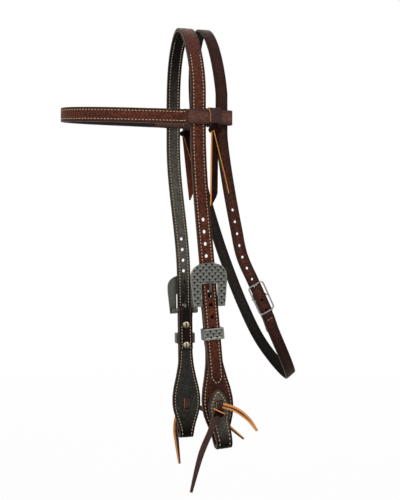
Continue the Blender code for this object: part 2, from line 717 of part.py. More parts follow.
def make_screw(side, name, down, looks):
    """A screw post with its flat cap in the strap's seat, and the domed head that closes it."""
    frame = cheek_frame(side)
    tube_end = CHAPE_MID - OUTER_PLY / 2
    cap = rod_mesh([(
        place(frame, 0.0, CHEEK_OUT - SCREW_CAP_PLY, down), place(frame, 0.0, CHEEK_OUT, down),
        SCREW_CAP, SCREW_CAP, ROUND_SIDES,
    )])
    post = finish_object(f"{side.name}_{name}_screw_post", cap, looks["nickel"])
    tube = rod_mesh([(
        place(frame, 0.0, tube_end, down), place(frame, 0.0, CHEEK_OUT - SCREW_CAP_PLY / 2, down),
        SCREW_TUBE, SCREW_TUBE, ROUND_SIDES,
    )])
    combine(post, tool_object(f"{side.name}_{name}_tube", tube), "UNION")
    bore = rod_mesh([(
        place(frame, 0.0, tube_end - CUT_OVERRUN, down),
        place(frame, 0.0, tube_end + SCREW_SHANK_LENGTH, down), SCREW_BORE, SCREW_BORE, PEG_SIDES,
    )])
    combine(post, tool_object(f"{side.name}_{name}_thread", bore), "DIFFERENCE")
    base = tube_end - FIT
    dome_part = dome_mesh(frame, down, base, SCREW_DOME, SCREW_DOME_HEIGHT)
    head = finish_object(f"{side.name}_{name}_screw_head", dome_part, looks["nickel"])
    shank = rod_mesh([(
        place(frame, 0.0, base - SCREW_DOME_HEIGHT / 2, down),
        place(frame, 0.0, tube_end + SCREW_SHANK_LENGTH - FIT, down), SCREW_SHANK, SCREW_SHANK, PEG_SIDES,
    )])
    combine(head, tool_object(f"{side.name}_{name}_shank", shank), "UNION")


# Thong ties

def thong_mesh(points, across, width, ply, tip):
    """A flat thong along points, with its width turned towards a direction and a cut tip."""
    path = stations(points, [across] * len(points), 1.0)
    halves = [width / 2] * (len(points) - 1) + [tip]
    return ribbon(path, halves, -ply / 2, ply / 2)


def make_bit_tie(side, looks):
    """A thong through both holes of the folded bit end, its bight inside and its knot outside."""
    frame = cheek_frame(side)
    inside = LINING_IN - FIT - THONG_PLY / 2
    outside = FLAP_OUT + FIT + THONG_PLY / 2
    knot_down = (UPPER_TIE_HOLE + LOWER_TIE_HOLE) / 2
    route = (
        (outside, UPPER_TIE_HOLE), (inside + THONG_PLY / 2, UPPER_TIE_HOLE),
        (inside, UPPER_TIE_HOLE + THONG_PLY / 2), (inside, LOWER_TIE_HOLE - THONG_PLY / 2),
        (inside + THONG_PLY / 2, LOWER_TIE_HOLE), (outside, LOWER_TIE_HOLE),
    )
    points = [place(frame, 0.0, out, down) for out, down in route]
    bight = thong_mesh(points, frame.across, THONG_WIDTH, THONG_PLY, THONG_WIDTH / 2)
    tie = finish_object(f"{side.name}_bit_tie", bight, looks["thong"])
    half = THONG_WIDTH / 2 + THONG_PLY / 2
    reach = (UPPER_TIE_HOLE - THONG_PLY, LOWER_TIE_HOLE + THONG_PLY)
    knot = box_mesh(frame, (-half, half), (FLAP_OUT + FIT, outside + THONG_PLY * 3 / 2), reach)
    combine(tie, tool_object(f"{side.name}_bit_knot", knot), "UNION")
    start = Vector((0.0, outside + THONG_PLY / 2, knot_down))
    for name, shares in TAIL_SHARES[side.name]:
        knots = [place(frame, *(start + Vector(row) * TAIL_REACH)) for row in shares]
        points = curve_through(knots, knots[1] - knots[0], knots[-1] - knots[-2], FOLD_STEPS // 2)
        flat = frame.across if name == "hanging" else frame.down
        mesh = thong_mesh(points, flat, TAIL_WIDTH, THONG_PLY, TAIL_TIP / 2)
        combine(tie, tool_object(f"{side.name}_{name}_tail", mesh), "UNION")


def tab_frame(side):
    """The frame of a browband tab: across to the rear, out from the horse, down."""
    origin = behind_poll(0.0, 0.0, side.sign * BROW_CANT - BROW_DROP)
    return Frame(origin, REAR, Vector((0.0, side.sign, 0.0)), -UP)


def make_browband_tie(side, looks):
    """A thong wound round the doubled tab between crown and throatlatch, with two hanging tails."""
    frame = tab_frame(side)
    across = (TIE_FRONT, TIE_FRONT + TIE_WIDTH)
    inner = TAB_MID_IN - LINING_PLY / 2 - FIT
    outer = TAB_MID_OUT + LINING_PLY / 2 + FIT
    high = BROW_WIDTH / 2 + FIT
    low = high + TIE_PLY
    block = box_mesh(frame, across, (inner - TIE_PLY, outer + TIE_PLY), (-low, low))
    tie = finish_object(f"{side.name}_browband_tie", block, looks["thong"])
    sides = (across[0] - CUT_OVERRUN, across[1] + CUT_OVERRUN)
    opening = box_mesh(frame, sides, (inner, outer), (-high, high))
    combine(tie, tool_object(f"{side.name}_tie_opening", opening), "DIFFERENCE")
    stand = (outer, outer + TIE_PLY + 2 * TIE_TAIL_PLY)
    knot = box_mesh(frame, across, stand, (low - TIE_KNOT, low + TIE_KNOT))
    combine(tie, tool_object(f"{side.name}_tie_knot", knot), "UNION")
    middle = sum(across) / 2
    straight = (middle + TIE_STRAIGHT_START, outer + TIE_PLY + TIE_TAIL_PLY * 1.5)
    crossed = (middle, outer + TIE_CROSSED_WIDTH / 2)
    lies = (
        ("straight", straight, TIE_STRAIGHT_TAIL, side.straight_drift, TIE_TAIL_WIDTH, REAR),
        ("crossed", crossed, TIE_CROSSED_TAIL, side.crossed_drift, TIE_CROSSED_WIDTH, frame.out),
    )
    for name, (start, out), length, drift, width, hint in lies:
        points = [
            place(frame, start + drift * share, out, low + length * share)
            for share in TAIL_STEP_SHARES
        ]
        mesh = thong_mesh(points, hint, width, TIE_TAIL_PLY, TIE_TAIL_TIP / 2)
        combine(tie, tool_object(f"{side.name}_{name}_tail_end", mesh), "UNION")


# Browband

def tab_plan():
    """A tab's middle line seen from above, from the inner end round to the front, as (rear, out)."""
    radius = (TAB_MID_OUT - TAB_MID_IN) / 2
    centre = TAB_REAR - LINING_PLY / 2 - radius
    middle = (TAB_MID_OUT + TAB_MID_IN) / 2
    plan = [(-BROW_STRAIGHT, TAB_MID_IN), (-STRAP_HALF, TAB_MID_IN), (centre / 2, TAB_MID_IN)]
    for turn in spread_out(-math.pi / 2, math.pi / 2, FOLD_STEPS):
        plan.append((centre + radius * math.cos(turn), middle + radius * math.sin(turn)))
    plan += [(centre / 2, TAB_MID_OUT), (-STRAP_HALF, TAB_MID_OUT)]
    front = TAB_MID_IN + LINING_PLY + FIT
    for share in spread_out(0.0, 1.0, FOLD_STEPS)[1:]:
        out = TAB_MID_OUT + (front - TAB_MID_OUT) * smooth_step(share)
        plan.append((-STRAP_HALF - 2 * FIT - TAB_STEP_LENGTH * share, out))
    return plan


def band_plan():
    """The band's front, from the near straight round to the off straight, as (rear, sideways)."""
    reach = BROW_REACH - BROW_STRAIGHT
    spread = TAB_MID_IN + LINING_PLY + FIT
    turns = spread_out(-math.pi / 2, math.pi / 2, 2 * ARCH_STEPS)
    return [(-BROW_STRAIGHT - reach * math.cos(turn), spread * math.sin(turn)) for turn in turns]


def brow_point(rear, sideways):
    level = BROW_CANT * min(max(sideways / TAB_MID_IN, -1.0), 1.0) - BROW_DROP
    return behind_poll(rear, sideways, level)


def make_browband(looks):
    plan = tab_plan()
    stepped = [spot for spot in plan[-FOLD_STEPS:] if spot[0] <= -BROW_STITCHED_START]
    near = [(rear, -out) for rear, out in plan]
    off = [(rear, out) for rear, out in reversed(plan)]
    points = [brow_point(*spot) for spot in near + band_plan() + off]
    path = stations(points, [UP] * len(points), 1.0)
    halves = [BROW_WIDTH / 2] * len(points)
    lining = ribbon(path, halves, -LINING_PLY / 2, LINING_PLY / 2)
    finish_object("browband_lining", lining, looks["lining"])
    skipped = len(plan) - len(stepped)
    outer = ribbon(
        path[skipped:-skipped], halves[skipped:-skipped],
        LINING_PLY / 2 + FIT, LINING_PLY / 2 + FIT + OUTER_PLY,
    )
    finish_object("browband_strap", outer, looks["leather"])


# Throatlatch

def throat_point(drop, reach, spread):
    rear = THROAT_SETBACK + THROAT_REACH * reach
    return behind_poll(rear, THROAT_SPREAD * spread, -THROAT_DROP * drop)


def throat_arch():
    """Over the poll behind the crown, and straight down through both browband tabs."""
    points = []
    for turn in spread_out(-math.pi / 2, math.pi / 2, 2 * ARCH_STEPS):
        rear = THROAT_LEG_SETBACK + (THROAT_SETBACK - THROAT_LEG_SETBACK) * math.cos(turn)
        level = (ARCH_DROP + THROAT_LIFT) * math.cos(turn) - ARCH_DROP
        sideways = math.copysign(THROAT_SPREAD * abs(math.sin(turn)) ** ARCH_POINT, turn)
        points.append(behind_poll(rear, sideways, level))
    ends = [behind_poll(THROAT_LEG_SETBACK, way * THROAT_SPREAD, -STRAIGHT_DROP) for way in (-1, 1)]
    return [ends[0]] + points + [ends[1]]


def throat_path():
    """From the billet's tip up the near side, over, down the off side and back up to the bar.

    The turned-back end then lies along the inside of the last stretch.
    """
    frame = throat_frame()
    leaf = THROAT_BAR_RADIUS + FIT
    billet = leaf + THROAT_PLY + FIT
    line_top = place(frame, 0.0, billet, -THROAT_STRAIGHT)
    line_foot = place(frame, 0.0, leaf, THROAT_FOOT_LINE)
    arch = throat_arch()
    near = [throat_point(drop, reach, -spread) for drop, reach, spread in NEAR_THROAT_SHARES]
    near = [line_top] + list(reversed(near))
    off = [throat_point(*shares) for shares in OFF_THROAT_SHARES + FOOT_THROAT_SHARES] + [line_foot]
    lead = [place(frame, 0.0, billet, down) for down in (THROAT_BILLET, THROAT_BILLET - THROAT_HALF, 0.0)]
    points = lead + curve_through(near + [arch[0]], -frame.down, UP, FOLD_STEPS // 2)[:-1] + arch
    fall = curve_through([arch[-1]] + off, -UP, -frame.down, FOLD_STEPS // 2)[1:]
    points += fall + [place(frame, 0.0, leaf, THROAT_FOOT_LINE / 2)]
    for turn in spread_out(0.0, math.pi, 2 * FOLD_STEPS):
        points.append(place(frame, 0.0, leaf * math.cos(turn), -leaf * math.sin(turn)))
    pinch = leaf - FIT
    tail = [(-leaf, leaf), (pinch, THROAT_STRAIGHT / 3), (pinch, THROAT_FOOT_LINE)]
    points += [place(frame, 0.0, out, down) for out, down in tail]
    beside = stations(fall, [throat_hint(point) for point in fall], 1.0)[-1 - FOLD_STEPS // 2:-1]
    return points + [here.point - here.out * FIT for here in reversed(beside)]


def throat_hint(point):
    """Which way the strap's width runs: to the rear at the top, and tipped up towards the foot."""
    share = smooth_step((-point.z - STRAIGHT_DROP) / (THROAT_BUCKLE_DROP - STRAIGHT_DROP))
    low = smooth_step((-point.z - THROAT_BUCKLE_DROP) / (THROAT_DROP - THROAT_BUCKLE_DROP))
    lean = THROAT_LEAN * share + (THROAT_FOOT_LEAN - THROAT_LEAN) * low
    return Vector((math.cos(lean), 0.0, math.sin(lean)))


def throat_halves(count):
    tip = [THROAT_HALF / 3, THROAT_HALF]
    return tip + [THROAT_HALF] * (count - len(tip))


def make_throatlatch(looks):
    points = throat_path()
    path = stations(points, [throat_hint(point) for point in points], 1.0)
    strap = ribbon(path, throat_halves(len(points)), 0.0, THROAT_PLY)
    throat = finish_object("throatlatch_strap", strap, looks["throat"])
    for cutter in throat_cutters(path):
        combine(throat, cutter, "DIFFERENCE")


def walk(path, distance):
    """The point a distance along a path from its start, and the direction out there."""
    here = 0
    left = distance
    while left > (path[here + 1].point - path[here].point).length:
        left -= (path[here + 1].point - path[here].point).length
        here += 1
    share = left / (path[here + 1].point - path[here].point).length
    point = path[here].point.lerp(path[here + 1].point, share)
    return point, path[here].out.lerp(path[here + 1].out, share).normalized()


def throat_cutters(path):
    """The billet's round holes, the tongue's long hole and the chape's slot at the bar."""
    frame = throat_frame()
    leaf = THROAT_BAR_RADIUS + FIT
    rods = []
    for i in range(-THROAT_HOLES_BELOW, THROAT_HOLES_ABOVE + 1):
        if i == 0:
            continue
        point, out = walk(path, THROAT_BILLET + THROAT_TONGUE_RISE + i * HOLE_PITCH)
        ends = point - out * (THROAT_PLY - 2 * FIT) / 2, point + out * (THROAT_PLY + CUT_OVERRUN)
        rods.append((*ends, THROAT_HOLE_RADIUS, THROAT_HOLE_RADIUS, PEG_SIDES))
    pegs = tool_object("throat_punch", rod_mesh(rods))
    half = THROAT_TONGUE_WIDTH / 2 + 2 * FIT
    eye = leaf + THROAT_TONGUE_EYE + 2 * FIT
    billet = leaf + THROAT_PLY + FIT
    slot = box_mesh(frame, (-half, half), (-billet, billet), (-billet, eye))
    top = -THROAT_TONGUE_RISE - THROAT_LONG_HOLE / 2
    long_hole = box_mesh(
        frame, (-half, half), (leaf + THROAT_PLY / 2, billet + THROAT_PLY + CUT_OVERRUN),
        (top, top + THROAT_LONG_HOLE),
    )
    return pegs, tool_object("throat_chape_slot", slot), tool_object("throat_long_hole", long_hole)


def make_throat_buckle(looks):
    """A centre-bar buckle: the bar behind, the two end rails in front of the billet."""
    frame = throat_frame()
    leaf = THROAT_BAR_RADIUS + FIT
    front = leaf + 2 * (THROAT_PLY + FIT)
    half = THROAT_FRAME_HALF
    long = THROAT_FRAME_LENGTH / 2
    rail = THROAT_RAIL
    back = -THROAT_BAR_RADIUS
    mesh = box_mesh(frame, (-half, half), (back, front + rail), (-long, long))
    buckle = finish_object("throat_buckle_frame", mesh, looks["chrome"])
    inside = half - rail
    window = box_mesh(frame, (-inside, inside), (back - rail, front + 2 * rail), (-long + rail, long - rail))
    combine(buckle, tool_object("throat_window", window), "DIFFERENCE")
    for way, name in ((1, "lower"), (-1, "upper")):
        down = sorted((way * THROAT_POST_HALF, way * (long + rail)))
        relief = box_mesh(frame, (-half - rail, half + rail), (back - rail, front), down)
        combine(buckle, tool_object(f"throat_{name}_relief", relief), "DIFFERENCE")
    ends = [place(frame, x, 0.0, 0.0) for x in (-half + rail / 2, half - rail / 2)]
    bar = rod_mesh([(*ends, THROAT_BAR_RADIUS, THROAT_BAR_RADIUS, ROUND_SIDES)])
    combine(buckle, tool_object("throat_bar", bar), "UNION")
    over = front + rail + FIT + THROAT_TONGUE_PLY / 2
    root = leaf + THROAT_TONGUE_EYE / 2
    rise = THROAT_TONGUE_RISE
    spots = [
        (root / 2, -root), (leaf + THROAT_PLY / 2, -rise + THROAT_TONGUE_PLY),
        (front, -rise - THROAT_TONGUE_PLY), (over, -long + 2 * rail), (over, -long - FIT),
    ]
    make_tongue(
        "throat_buckle_tongue", frame, looks["chrome"], THROAT_BAR_RADIUS, THROAT_TONGUE_EYE,
        THROAT_TONGUE_WIDTH, THROAT_TONGUE_PLY, spots, -1.0,
    )


def make_looks():
    return {
        "leather": material("oiled_red_brown_harness_leather", (0.085, 0.019, 0.012), 0.5),
        "lining": material("dark_olive_lining_leather", (0.035, 0.033, 0.027), 0.6),
        "throat": material("dark_brown_harness_leather", (0.045, 0.021, 0.016), 0.5),
        "thong": material("latigo_thong_leather", (0.05, 0.022, 0.017), 0.55),
        "silver": material("antique_stamped_silver", (0.30, 0.31, 0.28), 0.35, 1.0),
        "nickel": material("polished_nickel", (0.45, 0.42, 0.36), 0.2, 1.0),
        "chrome": material("bright_chrome", (0.6, 0.6, 0.6), 0.12, 1.0),
    }


def main():
    clear_scene()
    looks = make_looks()
    make_crown(looks)
    make_browband(looks)
    make_throatlatch(looks)
    make_throat_buckle(looks)
    for side in SIDES:
        make_cheek(side, looks)
        make_buckle(side, looks)
        make_cheek_tongue(side, looks)
        make_keeper(side, looks)
        make_screw(side, "upper", UPPER_SCREW, looks)
        make_screw(side, "lower", LOWER_SCREW, looks)
        make_bit_tie(side, looks)
        make_browband_tie(side, looks)


main()
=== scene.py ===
"""The looks of a western browband headstall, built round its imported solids, in metres with +Z up.

The horse faces -X, the near (left) side is at -Y, and the origin is under the crown at the poll.
Each strap is a moulded profile carried along the path that its solid follows.
"""

import math
from collections import namedtuple

import bmesh
import bpy
import numpy as np
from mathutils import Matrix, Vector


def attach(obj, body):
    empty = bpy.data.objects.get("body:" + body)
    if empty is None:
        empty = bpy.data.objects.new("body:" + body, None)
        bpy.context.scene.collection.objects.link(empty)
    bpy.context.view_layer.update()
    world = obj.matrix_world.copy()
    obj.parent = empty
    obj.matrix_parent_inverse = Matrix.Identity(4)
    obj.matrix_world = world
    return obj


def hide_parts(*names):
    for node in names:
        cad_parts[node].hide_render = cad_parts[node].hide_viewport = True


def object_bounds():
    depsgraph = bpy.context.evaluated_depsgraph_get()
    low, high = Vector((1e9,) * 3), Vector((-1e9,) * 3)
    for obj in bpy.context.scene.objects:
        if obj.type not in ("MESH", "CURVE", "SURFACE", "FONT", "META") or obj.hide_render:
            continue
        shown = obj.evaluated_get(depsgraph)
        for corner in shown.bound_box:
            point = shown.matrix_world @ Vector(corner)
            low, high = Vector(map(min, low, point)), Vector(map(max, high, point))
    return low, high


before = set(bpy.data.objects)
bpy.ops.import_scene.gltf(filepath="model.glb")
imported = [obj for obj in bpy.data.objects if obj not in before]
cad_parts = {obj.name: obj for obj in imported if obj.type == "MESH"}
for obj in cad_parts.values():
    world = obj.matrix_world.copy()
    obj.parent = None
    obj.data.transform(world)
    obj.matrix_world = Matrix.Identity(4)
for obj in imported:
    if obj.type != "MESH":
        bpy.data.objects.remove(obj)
CAD_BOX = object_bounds()

bl_info = {
    "name": "Western Headstall",
    "version": (1, 0, 0),
    "blender": (4, 5, 0),
    "location": "View3D > Sidebar > Headstall",
    "description": "Stitched leather, stamped silver and latigo ties for a western headstall",
    "category": "Add Mesh",
}

MM = 0.001

# Leather
STRAP_HALF = 7.95 * MM
OUTER_PLY = 2.4 * MM
LINING_PLY = 1.7 * MM
GLUE_LINE = 0.3 * MM
THROAT_HALF = 6.35 * MM
THROAT_PLY = 2.6 * MM
THONG_WIDTH = 7.0 * MM
THONG_PLY = 2.0 * MM
FIT = 0.3 * MM
HOLE_PITCH = 12.7 * MM
HOLE_RADIUS = 2.0 * MM
SLOT_ROOM = 0.6 * MM
OVERRUN = 3.0 * MM

# The dressed straps: how they are moulded, and how far the thread stands on them
SEAM_ROOM = 0.04 * MM
OUTER_GROOVE = 0.25 * MM
OUTER_BULGE = 0.2 * MM
CHEEK_GROOVE = 0.22 * MM
CHEEK_BULGE = 0.1 * MM
LINING_GROOVE = 0.2 * MM
LINING_CORNER = 0.5 * MM
THREAD_LIFT = 0.05 * MM

# Crown, measured from the poll
HALF_SPREAD = 61.0 * MM
ARCH_DROP = 78.0 * MM
ARCH_POINT = 1.12
LEG_SETBACK = 3.0 * MM
STRAIGHT_DROP = 116.0 * MM
BAR_DROP = 304.2 * MM
CROWN_SLIP = 8.5 * MM
CROWN_IN = 4.7 * MM
CROWN_OUT = 9.1 * MM
CROWN_PLY = 4.4 * MM
LINE_RISE = 40.45 * MM
BARE_NEAR = 67.0 * MM
BARE_OFF = 20.0 * MM
CROWN_PUNCH = (-3.0 * MM, 8.0 * MM)

# Browband
BROW_HALF = 7.5 * MM
BROW_DROP = 95.8 * MM
BROW_CANT = 7.2 * MM
BROW_REACH = 133.5 * MM
BROW_STRAIGHT = 24.0 * MM
TAB_REAR = 36.5 * MM
TAB_STEP_LENGTH = 9.0 * MM
TAB_MID_IN = 59.35 * MM
TAB_MID_OUT = 67.05 * MM
BROW_STITCHED_START = 11.4 * MM

# Throatlatch
THROAT_SETBACK = 17.8 * MM
THROAT_LEG_SETBACK = 25.2 * MM
THROAT_LIFT = 1.6 * MM
THROAT_DROP = 383.0 * MM
THROAT_REACH = 103.0 * MM
THROAT_SPREAD = 60.5 * MM
THROAT_LEAN = math.radians(28.0)
THROAT_TURN_IN = math.radians(10.5)
THROAT_FOOT_LEAN = math.radians(38.0)
THROAT_BUCKLE_REAR = 68.6 * MM
THROAT_BUCKLE_DROP = 290.7 * MM
THROAT_BUCKLE_SPREAD = 52.0 * MM
THROAT_BILLET = 25.0 * MM
THROAT_FOOT_LINE = 24.0 * MM
THROAT_STRAIGHT = 21.0 * MM
THROAT_HOLES_ABOVE = 7
THROAT_HOLES_BELOW = 2
THROAT_HOLE_RADIUS = 1.5 * MM
THROAT_PUNCH = (-1.0 * MM, 5.0 * MM)
THROAT_SLOT = 1.9 * MM
THROAT_SLOT_RISE = 1.7 * MM
THROAT_HOLE_LENGTH = 4.0 * MM
THROAT_POINT = 7.0 * MM
THROAT_BULGE = 0.15 * MM
THROAT_TACK_HALF = 1.8 * MM
THROAT_TACK_DROP = 2.6 * MM
THROAT_TACK_LENGTH = 3.0 * MM
THROAT_TACK_THREAD = 0.5 * MM
THROAT_BAR_RADIUS = 1.3 * MM
THROAT_FRAME_LENGTH = 35.5 * MM
THROAT_FRAME_HALF = 9.55 * MM
THROAT_FRAME_CORNER = 3.4 * MM
THROAT_WIRE = 1.05 * MM
THROAT_WIRE_DRAWN = 0.85 * MM
THROAT_LUG = 0.8 * MM
THROAT_TONGUE_RISE = 10.0 * MM
THROAT_TONGUE_HALF = 1.2 * MM
THROAT_TONGUE_HALF_PLY = 0.75 * MM
THROAT_EYE_WIRE = 0.5 * MM

# Cheek strap, measured down from the buckle bar
BILLET_LENGTH = 88.5 * MM
BILLET_POINT = 9.5 * MM
TONGUE_HOLE_RISE = 8.7 * MM
TONGUE_HOLE_ABOVE = 2.4 * MM
TONGUE_HOLE_BELOW = 3.4 * MM
HOLES_ABOVE = 6
HOLES_BELOW = 3
CHEEK_IN = 2.0 * MM
CHEEK_OUT = 4.4 * MM
CHAPE_MID = -1.5 * MM
CHAPE_END = 46.0 * MM
UPPER_SCREW = 17.0 * MM
LOWER_SCREW = 41.0 * MM
SCREW_HOLE = 2.1 * MM
CAP_HOLE = 4.6 * MM
CAP_DEPTH = 1.2 * MM
BAR_SLOT = (-9.0 * MM, 1.2 * MM)
LINING_START = LOWER_SCREW + 2.7 * MM
STITCH_START = LOWER_SCREW + 6 * MM
BIT_END = 152.0 * MM
BIT_LOOP_GAP = 12.0 * MM
BIT_LOOP_RADIUS = 4.8 * MM
FLAP_TIP = 91.0 * MM
FLAP_CLOSE = 121.0 * MM
FLAP_MID = 6.2 * MM
FLAP_OUT = 9.4 * MM
PADDLE_HALF = 16.7 * MM
FLAP_HALF = 11.3 * MM
UPPER_TIE_HOLE = 104.0 * MM
LOWER_TIE_HOLE = 115.0 * MM

# Cart buckle, keeper and screws
BAR_RADIUS = 1.7 * MM
PLATE_IN = 9.4 * MM
PLATE_OUT = 11.9 * MM
BUCKLE_TOP = 41.8 * MM
BUCKLE_SHOULDER = 24.0 * MM
BUCKLE_HALF = 19.5 * MM
BUCKLE_FOOT_HALF = 16.6 * MM
BUCKLE_FOOT = 4.0 * MM
BUCKLE_END_TURN = math.radians(8.0)
BUCKLE_SQUARENESS = 0.68
BUCKLE_DOME = 1.4 * MM
PLATE_TURN = math.radians(3.5)
WINDOW_TOP = 19.8 * MM
WINDOW_HALF = 9.2 * MM
WINDOW_BEVEL = 0.5 * MM
WINDOW_CORNER = 1.5 * MM
PLATE_GRID = 97
PLATE_RIM = 0.9 * MM
POST_CORNER = 0.35 * MM
POST_INNER = 8.7 * MM
POST_OUTER = 14.9 * MM
POST_HALF = 2.6 * MM
TONGUE_HALF = 1.8 * MM
TONGUE_PLY = 2.0 * MM
TONGUE_REST = 2.0 * MM
EYE_HALF_PLY = 0.65 * MM
KEEPER_DROP = 32.9 * MM
KEEPER_HEIGHT = 12.0 * MM
KEEPER_HALF = 11.3 * MM
KEEPER_BACK = 0.1 * MM
KEEPER_FRONT = 11.7 * MM
KEEPER_INSIDE_HALF = 8.65 * MM
KEEPER_INSIDE_BACK = 1.6 * MM
KEEPER_INSIDE_FRONT = 9.5 * MM
KEEPER_EDGE = 0.5 * MM
KEEPER_RIM = 1.8 * MM
KEEPER_SUNK = 0.35 * MM
SCREW_HEAD = 4.5 * MM
SCREW_HEAD_BASE = -3.0 * MM
SCREW_HEAD_HEIGHT = 2.2 * MM
SCREW_SLOT_HALF = 0.75 * MM
SCREW_SLOT_REACH = 3.3 * MM
SCREW_SLOT_DEPTH = 0.8 * MM
SCREW_SHANK_SHARE = 0.3
SCREW_SHANK_LENGTH = 1.9 * MM

# How far the silver is rubbed back, from 0 for black to 1 for bright
STAMP_RUBBED = 0.8
RIM_RUBBED = 0.85
BACK_RUBBED = 0.62
POST_RUBBED = 0.55
BAR_RUBBED = 0.75
TONGUE_RUBBED = 0.55
EYE_RUBBED = 0.3
KEEPER_INSIDE_RUBBED = 0.3

# Ties
TAIL_REACH = 100.0 * MM
TAIL_TIP = 1.4 * MM
HANGING_HALF = 3.1 * MM
REAR_HALF = 2.7 * MM
WRAP_REACH = 5.0 * MM
WRAP_FORWARD = 1.2 * MM
WRAP_DROP = 4.0 * MM
WRAP_SLOPE = 0.6
WRAP_RISE = 6.2 * MM
WRAP_HALF = 1.2 * MM
BIT_KNOT = (5.0 * MM, 1.6 * MM)
BIT_KNOT_FORWARD = 2.4 * MM
BIT_KNOT_RISE = 3.4 * MM
BIT_KNOT_DROP = 5.6 * MM
TIE_FRONT = 9.7 * MM
TIE_WIDTH = 8.1 * MM
TIE_PLY = 1.8 * MM
TIE_FRONT_SHIFT = 3.2 * MM
TIE_FRONT_WIDER = 1.5 * MM
TIE_TOP_BULGE = 0.9 * MM
TIE_KNOT = (6.2 * MM, 1.9 * MM)
TIE_KNOT_REAR = 2.2 * MM
TIE_KNOT_RISE = 1.6 * MM
TIE_TAILS_START = 5.0 * MM
TIE_TAIL_HALF = 3.9 * MM
TIE_TAIL_TIP = 0.8 * MM
STRAIGHT_TAIL = 83 * MM
CROSSED_TAIL = 70 * MM

# Grain of the leathers: pores, patches where the oil soaked in unevenly, and clouds of colour
PORE = 0.9 * MM
PATCH = 1.5 * MM
CLOUD = 11 * MM

# Stage
FLOOR_GAP = 0.12
FLOOR_REACH = 4.0
LAMPS = (
    ("key", (0.7, -1.2, 1.1), 12.0, 0.7),
    ("fill", (-1.3, -1.0, 0.6), 9.0, 0.8),
    ("back", (0.5, 1.4, 0.8), 8.0, 1.0),
)
FOCAL_LENGTH = 58.75
CAMERA_PLACE = (-0.18884, -0.88867, -0.24113)
CAMERA_TURN = math.radians(-13.2)

# Half widths as (share of the way down, share of the widest)
PADDLE_SHARES = (
    (0.0, 0.0), (0.12, 0.05), (0.22, 0.17), (0.35, 0.50), (0.45, 0.81), (0.55, 1.0), (0.63, 1.0),
    (0.70, 0.88), (0.78, 0.58), (0.85, 0.28), (0.94, 0.03), (1.0, 0.0),
)
FLAP_SHARES = (
    (0.0, 0.10), (0.03, 0.32), (0.09, 0.58), (0.18, 0.84), (0.28, 1.0), (0.38, 1.0), (0.62, 0.80),
    (1.0, 0.70),
)
# Points of the throatlatch as shares of its drop, its reach to the rear and its spread
NEAR_THROAT_SHARES = (
    (0.36, 0.09, 1.0), (0.46, 0.148, 1.0), (0.57, 0.226, 1.0), (0.645, 0.29, 0.985),
)
OFF_THROAT_SHARES = (
    (0.36, 0.10, 1.0), (0.46, 0.19, 1.0), (0.60, 0.35, 0.99), (0.70, 0.48, 0.95),
    (0.80, 0.62, 0.86), (0.90, 0.775, 0.66), (0.97, 0.925, 0.36),
)
FOOT_THROAT_SHARES = ((1.0, 1.0, 0.0), (0.965, 0.905, -0.40), (0.856, 0.676, -0.727))
# Points of each bit tie's hanging and rear tails as shares of their reach: across, out and down
TAIL_SHARES = {
    "near": (
        ((-0.03, 0.0, 0.02), (-0.13, 0.06, 0.20), (-0.24, 0.09, 0.38), (-0.30, 0.09, 0.52),
         (-0.40, 0.09, 0.80)),
        ((0.03, 0.0, -0.02), (0.15, 0.05, 0.03), (0.27, 0.08, 0.14), (0.35, 0.09, 0.27)),
    ),
    "off": (
        ((-0.03, 0.0, 0.02), (-0.08, 0.06, 0.20), (-0.09, 0.12, 0.36), (-0.08, 0.12, 0.50),
         (-0.05, 0.12, 0.78)),
        ((0.03, 0.0, 0.0), (0.18, 0.05, 0.09), (0.42, 0.09, 0.24), (0.76, 0.10, 0.53)),
    ),
}

Side = namedtuple("Side", "name sign slip leg_rear bar_rear lean pull straight_drift crossed_drift")
SIDES = (
    Side(
        "near", -1, CROWN_SLIP, -0.2 * MM, 12.6 * MM, math.radians(4.9), 1.7 * MM, -1.0 * MM,
        16.5 * MM,
    ),
    Side("off", 1, -CROWN_SLIP, -1.2 * MM, 12.0 * MM, math.radians(0.9), 0.0, 8.5 * MM, 21.0 * MM),
)
Place = namedtuple("Place", "origin across out down")
Path = namedtuple("Path", "point across out length")
Shell = namedtuple("Shell", "points faces lie edge")

UP = np.array((0.0, 0.0, 1.0))
REAR = np.array((1.0, 0.0, 0.0))


def linear(hex_colour):
    """An sRGB hex colour as linear red, green and blue."""
    shares = [int(hex_colour[i:i + 2], 16) / 255 for i in (1, 3, 5)]
    return tuple(s / 12.92 if s <= 0.04045 else ((s + 0.055) / 1.055) ** 2.4 for s in shares)


